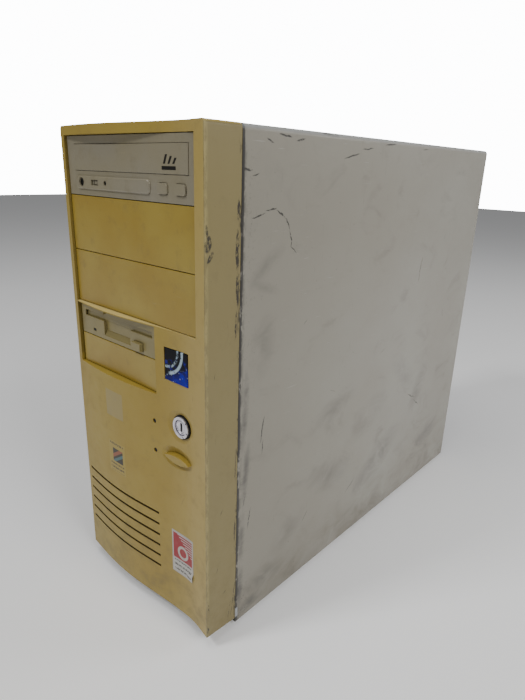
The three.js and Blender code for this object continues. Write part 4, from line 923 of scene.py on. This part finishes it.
class TOWER_OT_labels(TowerStep):
    """The badge and the stickers on the bezel"""
    bl_idname = "tower.labels"
    bl_label = "Badge and stickers"

    def build(self, sizes):
        refined("case_badge", 0.3 * MM, 3)
        shell = bpy.data.objects["bezel_shell"]
        x_mid, z_mid, wide, tall = 51 * MM, 69 * MM, 25 * MM, 40 * MM
        ticket = laid_on(shell, "red_sticker", x_mid, z_mid, wide, tall, sizes.label_lift)
        pick(ticket, "verts", lambda v: v.co.x > x_mid + wide * 0.2 and v.co.z < z_mid - tall * 0.36)
        bpy.ops.transform.translate(value=(-0.6 * MM, -0.9 * MM, 1.2 * MM))
        done()
        softened(ticket, 0, 1)
        dressed(ticket, "chassis", "yellowed_plastic", finish=ticket_print(x_mid, z_mid, wide, tall))
        x_mid, z_mid, wide, tall = -26.5 * MM, 128 * MM, 23 * MM, 29 * MM
        small = laid_on(shell, "faded_transfer", x_mid, z_mid, wide, tall, 0.05 * MM)
        softened(small, 0, 1)
        dressed(small, "chassis", "yellowed_plastic", finish=small_print(x_mid, z_mid, wide, tall))


class TOWER_OT_controls(TowerStep):
    """The key lock, the power button and the lamps"""
    bl_idname = "tower.controls"
    bl_label = "Lock, button and lamps"

    def build(self, sizes):
        x, z = (LOCK_LOW.x + LOCK_HIGH.x) / 2, (LOCK_LOW.z + LOCK_HIGH.z) / 2
        outer = (LOCK_HIGH.x - LOCK_LOW.x) / 2
        radius = outer - 0.9 * MM
        inner = (BARREL_HIGH.x - BARREL_LOW.x) / 2
        front = LOCK_LOW.y
        middle = (x, front, z)
        ring = rod("lock_ring", "y", radius, front - 0.6 * MM, front + 2.6 * MM, (x, 0, z), 64)
        cut(ring, rod("bore", "y", inner + 0.45 * MM, front - 2 * MM, front + 5 * MM, (x, 0, z), 64))
        for angle in (-40, 20, 66):
            nick = block("nick", (x + radius * 0.84, front - 1.2 * MM, z - 0.55 * MM),
                         (x + radius * 1.1, front + 1 * MM, z + 0.55 * MM))
            pick(nick, "verts", lambda vert: True)
            bpy.ops.transform.rotate(value=math.radians(-angle), orient_axis="Y", center_override=(x, front, z))
            done()
            cut(ring, nick)
        softened(ring, 0.45 * MM, 3)
        # painted shade: a black ring set behind the chrome ring stands in for the dark gap around the lock
        collar = rod("lock_collar", "y", outer, front + 0.4 * MM, front + 2.4 * MM, (x, 0, z), 64)
        cut(collar, rod("bore", "y", radius - 0.1 * MM, front - 2 * MM, front + 5 * MM, (x, 0, z), 64))
        softened(collar, 0.2 * MM, 2)
        sleeve = rod("lock_sleeve", "y", radius - 1.0 * MM, front + 2.6 * MM, LOCK_HIGH.y, (x, 0, z), 48)
        cut(sleeve, rod("bore", "y", inner + 0.3 * MM, front, LOCK_HIGH.y + MM, (x, 0, z), 48))
        softened(sleeve, 0.2 * MM)
        dressed(ring, "chassis", "lock_chrome")
        dressed(collar, "chassis", "black_plastic")
        dressed(sleeve, "chassis", "lock_chrome", "lock_housing")
        barrel = rod("lock_core", "y", inner, BARREL_LOW.y + 0.3 * MM, BARREL_HIGH.y - 5 * MM, (x, 0, z), 48)
        pick(barrel, "faces", lambda face: face.normal.y < -0.9)
        bpy.ops.mesh.inset(thickness=1.2 * MM)
        bpy.ops.transform.translate(value=(0, -0.5 * MM, 0))
        bpy.ops.mesh.inset(thickness=0.6 * MM)
        bpy.ops.transform.translate(value=(0, 0.5 * MM, 0))
        done()
        cut(barrel, block("keyway", off(middle, -1.1, -4, -3.5), off(middle, 1.1, 12, 3.5)))
        # painted shade: a black block inside the keyway stands in for its dark depth
        keyhole = block("lock_keyhole", off(middle, -1.0, 1.0, -3.4), off(middle, 1.0, 1.8, 3.4))
        softened(keyhole, 0.1 * MM, 1)
        dressed(keyhole, "key_barrel", "black_plastic")
        arm = block("lock_arm", (x - 3 * MM, BARREL_HIGH.y - 4 * MM, z - 3 * MM),
                    (x + 3 * MM, BARREL_HIGH.y, BARREL_HIGH.z))
        softened(arm, 0.4 * MM, 2)
        softened(barrel, 0.2 * MM, 2)
        dressed(barrel, "key_barrel", "lock_chrome", "lock_barrel")
        dressed(arm, "key_barrel", "lock_chrome")
        refined("power_button", 0.8 * MM, 4)
        refined("power_switch", 0.4 * MM)
        for lamp in ("disk_lamp", "power_lamp"):
            low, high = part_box(lamp)
            lens = rod(lamp + "_lens", "y", 2.1 * MM, low.y - 3.8 * MM, high.y, (low + high) / 2, 32)
            pick(lens, "faces", lambda face: face.normal.y < -0.9)
            bpy.ops.mesh.bevel(offset=0.4 * MM, segments=3)
            done()
            softened(lens, 0, 1)
            dressed(lens, "chassis", "lamp_green", lamp)


class TOWER_OT_optical(TowerStep):
    """The optical drive's front, tray and buttons"""
    bl_idname = "tower.optical"
    bl_label = "Optical drive"

    def build(self, sizes):
        bay_left, floor = DRIVE_LOW.x, DRIVE_LOW.z
        face = copied("optical_bezel", "optical_front")
        softened(face, sizes.blank_round, 2)
        foot = (bay_left, DRIVE_FACE, floor)
        pad = block("pad", off(foot, 11.2, -1.5, 4.3), off(foot, 102.7, 0.4, 14.1))
        pick(pad, "edges", lambda e: abs(e.verts[0].co.y - e.verts[1].co.y) > 1e-5)
        bpy.ops.mesh.bevel(offset=3.4 * MM, segments=8, profile=0.5)
        done()
        pick(pad, "faces", lambda f: f.normal.y < -0.9)
        bpy.ops.mesh.bevel(offset=1.2 * MM, segments=4)
        done()
        row = floor + 9.5 * MM
        start = (bay_left, DRIVE_FACE, row)
        cut(pad,
            rod("jack", "y", 3.3 * MM, DRIVE_FACE - 3 * MM, DRIVE_FACE + 3 * MM, (bay_left + 19 * MM, 0, row)),
            block("slit", off(start, 32.3, -3, -1.9), off(start, 41.5, 3, 1.9)),
            rod("pin", "y", 1.7 * MM, DRIVE_FACE - 3 * MM, DRIVE_FACE + 3 * MM, (bay_left + 50.7 * MM, 0, row)))
        softened(pad, 0, 1)
        dressed(face, "chassis", "beige_plastic", "optical_bezel")
        dressed(pad, "chassis", "beige_plastic")
        jack = rod("phones_socket", "y", 3.2 * MM, DRIVE_FACE - 0.4 * MM, DRIVE_FACE + 4 * MM,
                   (bay_left + 19 * MM, 0, row), 32)
        softened(jack, 0.15 * MM)
        dressed(jack, "chassis", "black_plastic", finish=FINISH_OF_SLOT["lamp_green"]())
        lens = rod("drive_lamp", "y", 1.6 * MM, DRIVE_FACE - 0.8 * MM, DRIVE_FACE + 1 * MM,
                   (bay_left + 50.7 * MM, 0, row), 32)
        softened(lens, 0.4 * MM, 3)
        dressed(lens, "chassis", "lamp_green")
        wheel = aged_plastic("beige", "beige_warm", 0.2, 8.0, name="wheel_beige")
        window = block("wheel_window", off(start, 32.8, -0.3, -1.7), off(start, 41.2, 1.4, 1.7))
        cut(window, rod("room", "z", 6.3 * MM, row - 3 * MM, row + 3 * MM,
                        off(start, 36.9, 5.6, 0)))
        softened(window, 0.2 * MM)
        dressed(window, "chassis", "beige_plastic", finish=wheel)
        refined("volume_wheel", 0.3 * MM, 2, wheel)
        for node in ("eject_button", "play_button"):
            refined(node, sizes.button_round, 4)
        for node in ("tray_door", "disc_tray", "optical_drive_body"):
            refined(node, sizes.blank_round)
        # a generic mark on the door: three leaning strokes over a bar
        x_mid, low = bay_left + 122.6 * MM, DOOR_LOW.z + 2.6 * MM
        base = (x_mid, DOOR_LOW.y, low)
        bar = block("bar", off(base, -7, -0.06, 0), off(base, 7, 0.2, 2.2))
        strokes = []
        for i in range(3):
            x0 = x_mid + (i - 1) * 4.6 * MM
            stroke = block("stroke", (x0 - 1.0 * MM, DOOR_LOW.y - 0.06 * MM, low + 3.6 * MM),
                           (x0 + 1.0 * MM, DOOR_LOW.y + 0.2 * MM, low + 9.2 * MM - i * MM))
            pick(stroke, "verts", lambda v: v.co.z > low + 5 * MM)
            bpy.ops.transform.translate(value=(2.4 * MM, 0, 0))
            done()
            strokes.append(stroke)
        mark = joined(bar, *strokes)
        mark.name = "door_mark"
        softened(mark, 0, 1)
        ink = moulded("#15130f", "#2a2620", 0.5, name="door_ink")
        dressed(mark, BODY_OF["tray_door"], "beige_plastic", finish=ink)


class TOWER_OT_floppy(TowerStep):
    """The floppy drive's front, flap and button"""
    bl_idname = "tower.floppy"
    bl_label = "Floppy drive"

    def build(self, sizes):
        finish = aged_plastic("beige_warm", "yellowed", 0.25, 3.0, name="floppy_beige")
        refined("floppy_bezel", sizes.blank_round, 2, finish)
        refined("floppy_door", 0.2 * MM, 2, finish)
        refined("floppy_eject_button", 0.5 * MM, 3, finish)
        refined("floppy_drive_body", sizes.sheet_round)
        start = (FLOPPY_LOW.x, DRIVE_FACE, FLOPPY_LOW.z)
        ledge = block("floppy_ledge", off(start, 33, 0.3, 3.4), off(start, 68.6, 2.7, 7.5))
        pick(ledge, "verts", lambda v: v.co.y < DRIVE_FACE + MM and v.co.z > FLOPPY_LOW.z + 5 * MM)
        bpy.ops.transform.translate(value=(0, 2.0 * MM, 0))
        done()
        softened(ledge, 0.15 * MM)
        dressed(ledge, "chassis", "beige_plastic", finish=finish)
        lamp = block("floppy_lamp", off(start, 16.6, -0.1, 4.2), off(start, 20.2, 1.2, 6.0))
        softened(lamp, 0.3 * MM, 3)
        glass = moulded("#0e140b", "#1d1d15", 0.3, name="floppy_lamp_lens")
        dressed(lamp, "chassis", "lamp_green", finish=glass)


class TOWER_OT_cover(TowerStep):
    """The sliding steel cover and its screws"""
    bl_idname = "tower.cover"
    bl_label = "Cover and screws"

    def build(self, sizes):
        refined("cover", sizes.sheet_round, 2)
        for side in ("left", "right"):
            for height in ("low", "high"):
                refined(f"cover_screw_{side}_{height}", 0.35 * MM, 2)


class TOWER_OT_chassis(TowerStep):
    """The chassis sheets, drive cages, drives and feet"""
    bl_idname = "tower.chassis"
    bl_label = "Chassis"

    def build(self, sizes):
        for node in ("base_pan", "front_plate", "board_tray", "small_drive_cage", "hard_disk"):
            refined(node, sizes.sheet_round)
        # punched flat sheets keep their square edges
        for node in ("rear_panel", "wide_drive_cage"):
            refined(node, 0)
        for end in ("front", "rear"):
            for side in ("left", "right"):
                refined(f"foot_{end}_{side}", 0.5 * MM, 2)


class TOWER_OT_supply(TowerStep):
    """The power supply's case, fan, guard, inlet and selector"""
    bl_idname = "tower.supply"
    bl_label = "Power supply"

    def build(self, sizes):
        for node in ("supply_case", "supply_lid", "supply_fan_frame", "supply_fan", "power_inlet",
                     "voltage_selector"):
            refined(node, sizes.sheet_round)
        refined("fan_guard", 0, 1)


class TOWER_OT_boards(TowerStep):
    """The motherboard and everything that it carries"""
    bl_idname = "tower.boards"
    bl_label = "Boards"

    def build(self, sizes):
        for node in ("rear_sockets", "processor", "heatsink", "cooler_frame", "cooler_fan"):
            refined(node, sizes.sheet_round)
        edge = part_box("motherboard")[1].x - 1.6 * MM
        board = circuit_board(lambda f: f.x.rise(edge - 0.7 * MM, edge - 0.4 * MM).flip(), name="main_board")
        refined("motherboard", sizes.sheet_round, 2, board)
        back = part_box("memory_module")[1].y - 1.2 * MM
        module = circuit_board(lambda f: f.y.rise(back - 0.2 * MM, back - 0.1 * MM).flip(), name="memory_board")
        refined("memory_module", sizes.sheet_round, 2, module)
        for node in ("graphics_card", "sound_card"):
            low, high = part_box(node)
            middle = (low.z + high.z) / 2
            card = circuit_board(lambda f: (f.z - middle).size().rise(0.9 * MM, 1.0 * MM), name=node + "_board")
            refined(node, sizes.sheet_round, 2, card)


class TOWER_OT_leads(TowerStep):
    """The ribbons and the bundled leads"""
    bl_idname = "tower.leads"
    bl_label = "Leads"

    def build(self, sizes):
        for node in ("disk_ribbon", "floppy_ribbon", "optical_ribbon", "drive_power_lead",
                     "board_power_lead", "panel_wires"):
            refined(node, 0.2 * MM)


STEPS = (TOWER_OT_stage, TOWER_OT_bezel, TOWER_OT_labels, TOWER_OT_controls, TOWER_OT_optical,
         TOWER_OT_floppy, TOWER_OT_cover, TOWER_OT_chassis, TOWER_OT_supply, TOWER_OT_boards,
         TOWER_OT_leads)


class TOWER_PT_panel(bpy.types.Panel):
    bl_idname = "TOWER_PT_panel"
    bl_label = "Desktop tower"
    bl_space_type = "VIEW_3D"
    bl_region_type = "UI"
    bl_category = "Tower"

    def draw(self, context):
        for group in (context.scene.tower_sizes, context.scene.tower_colours):
            for name in group.__annotations__:
                self.layout.prop(group, name)
        for step in STEPS:
            self.layout.operator(step.bl_idname)


CLASSES = (TowerSizes, TowerColours) + STEPS + (TOWER_PT_panel,)


def register():
    for item in CLASSES:
        bpy.utils.register_class(item)
    bpy.types.Scene.tower_sizes = bpy.props.PointerProperty(type=TowerSizes)
    bpy.types.Scene.tower_colours = bpy.props.PointerProperty(type=TowerColours)


def unregister():
    del bpy.types.Scene.tower_colours
    del bpy.types.Scene.tower_sizes
    for item in reversed(CLASSES):
        bpy.utils.unregister_class(item)


def main():
    register()
    for step in STEPS:
        group, name = step.bl_idname.split(".")
        getattr(getattr(bpy.ops, group), name)()
    clear()


if __name__ == "__main__":
    main()
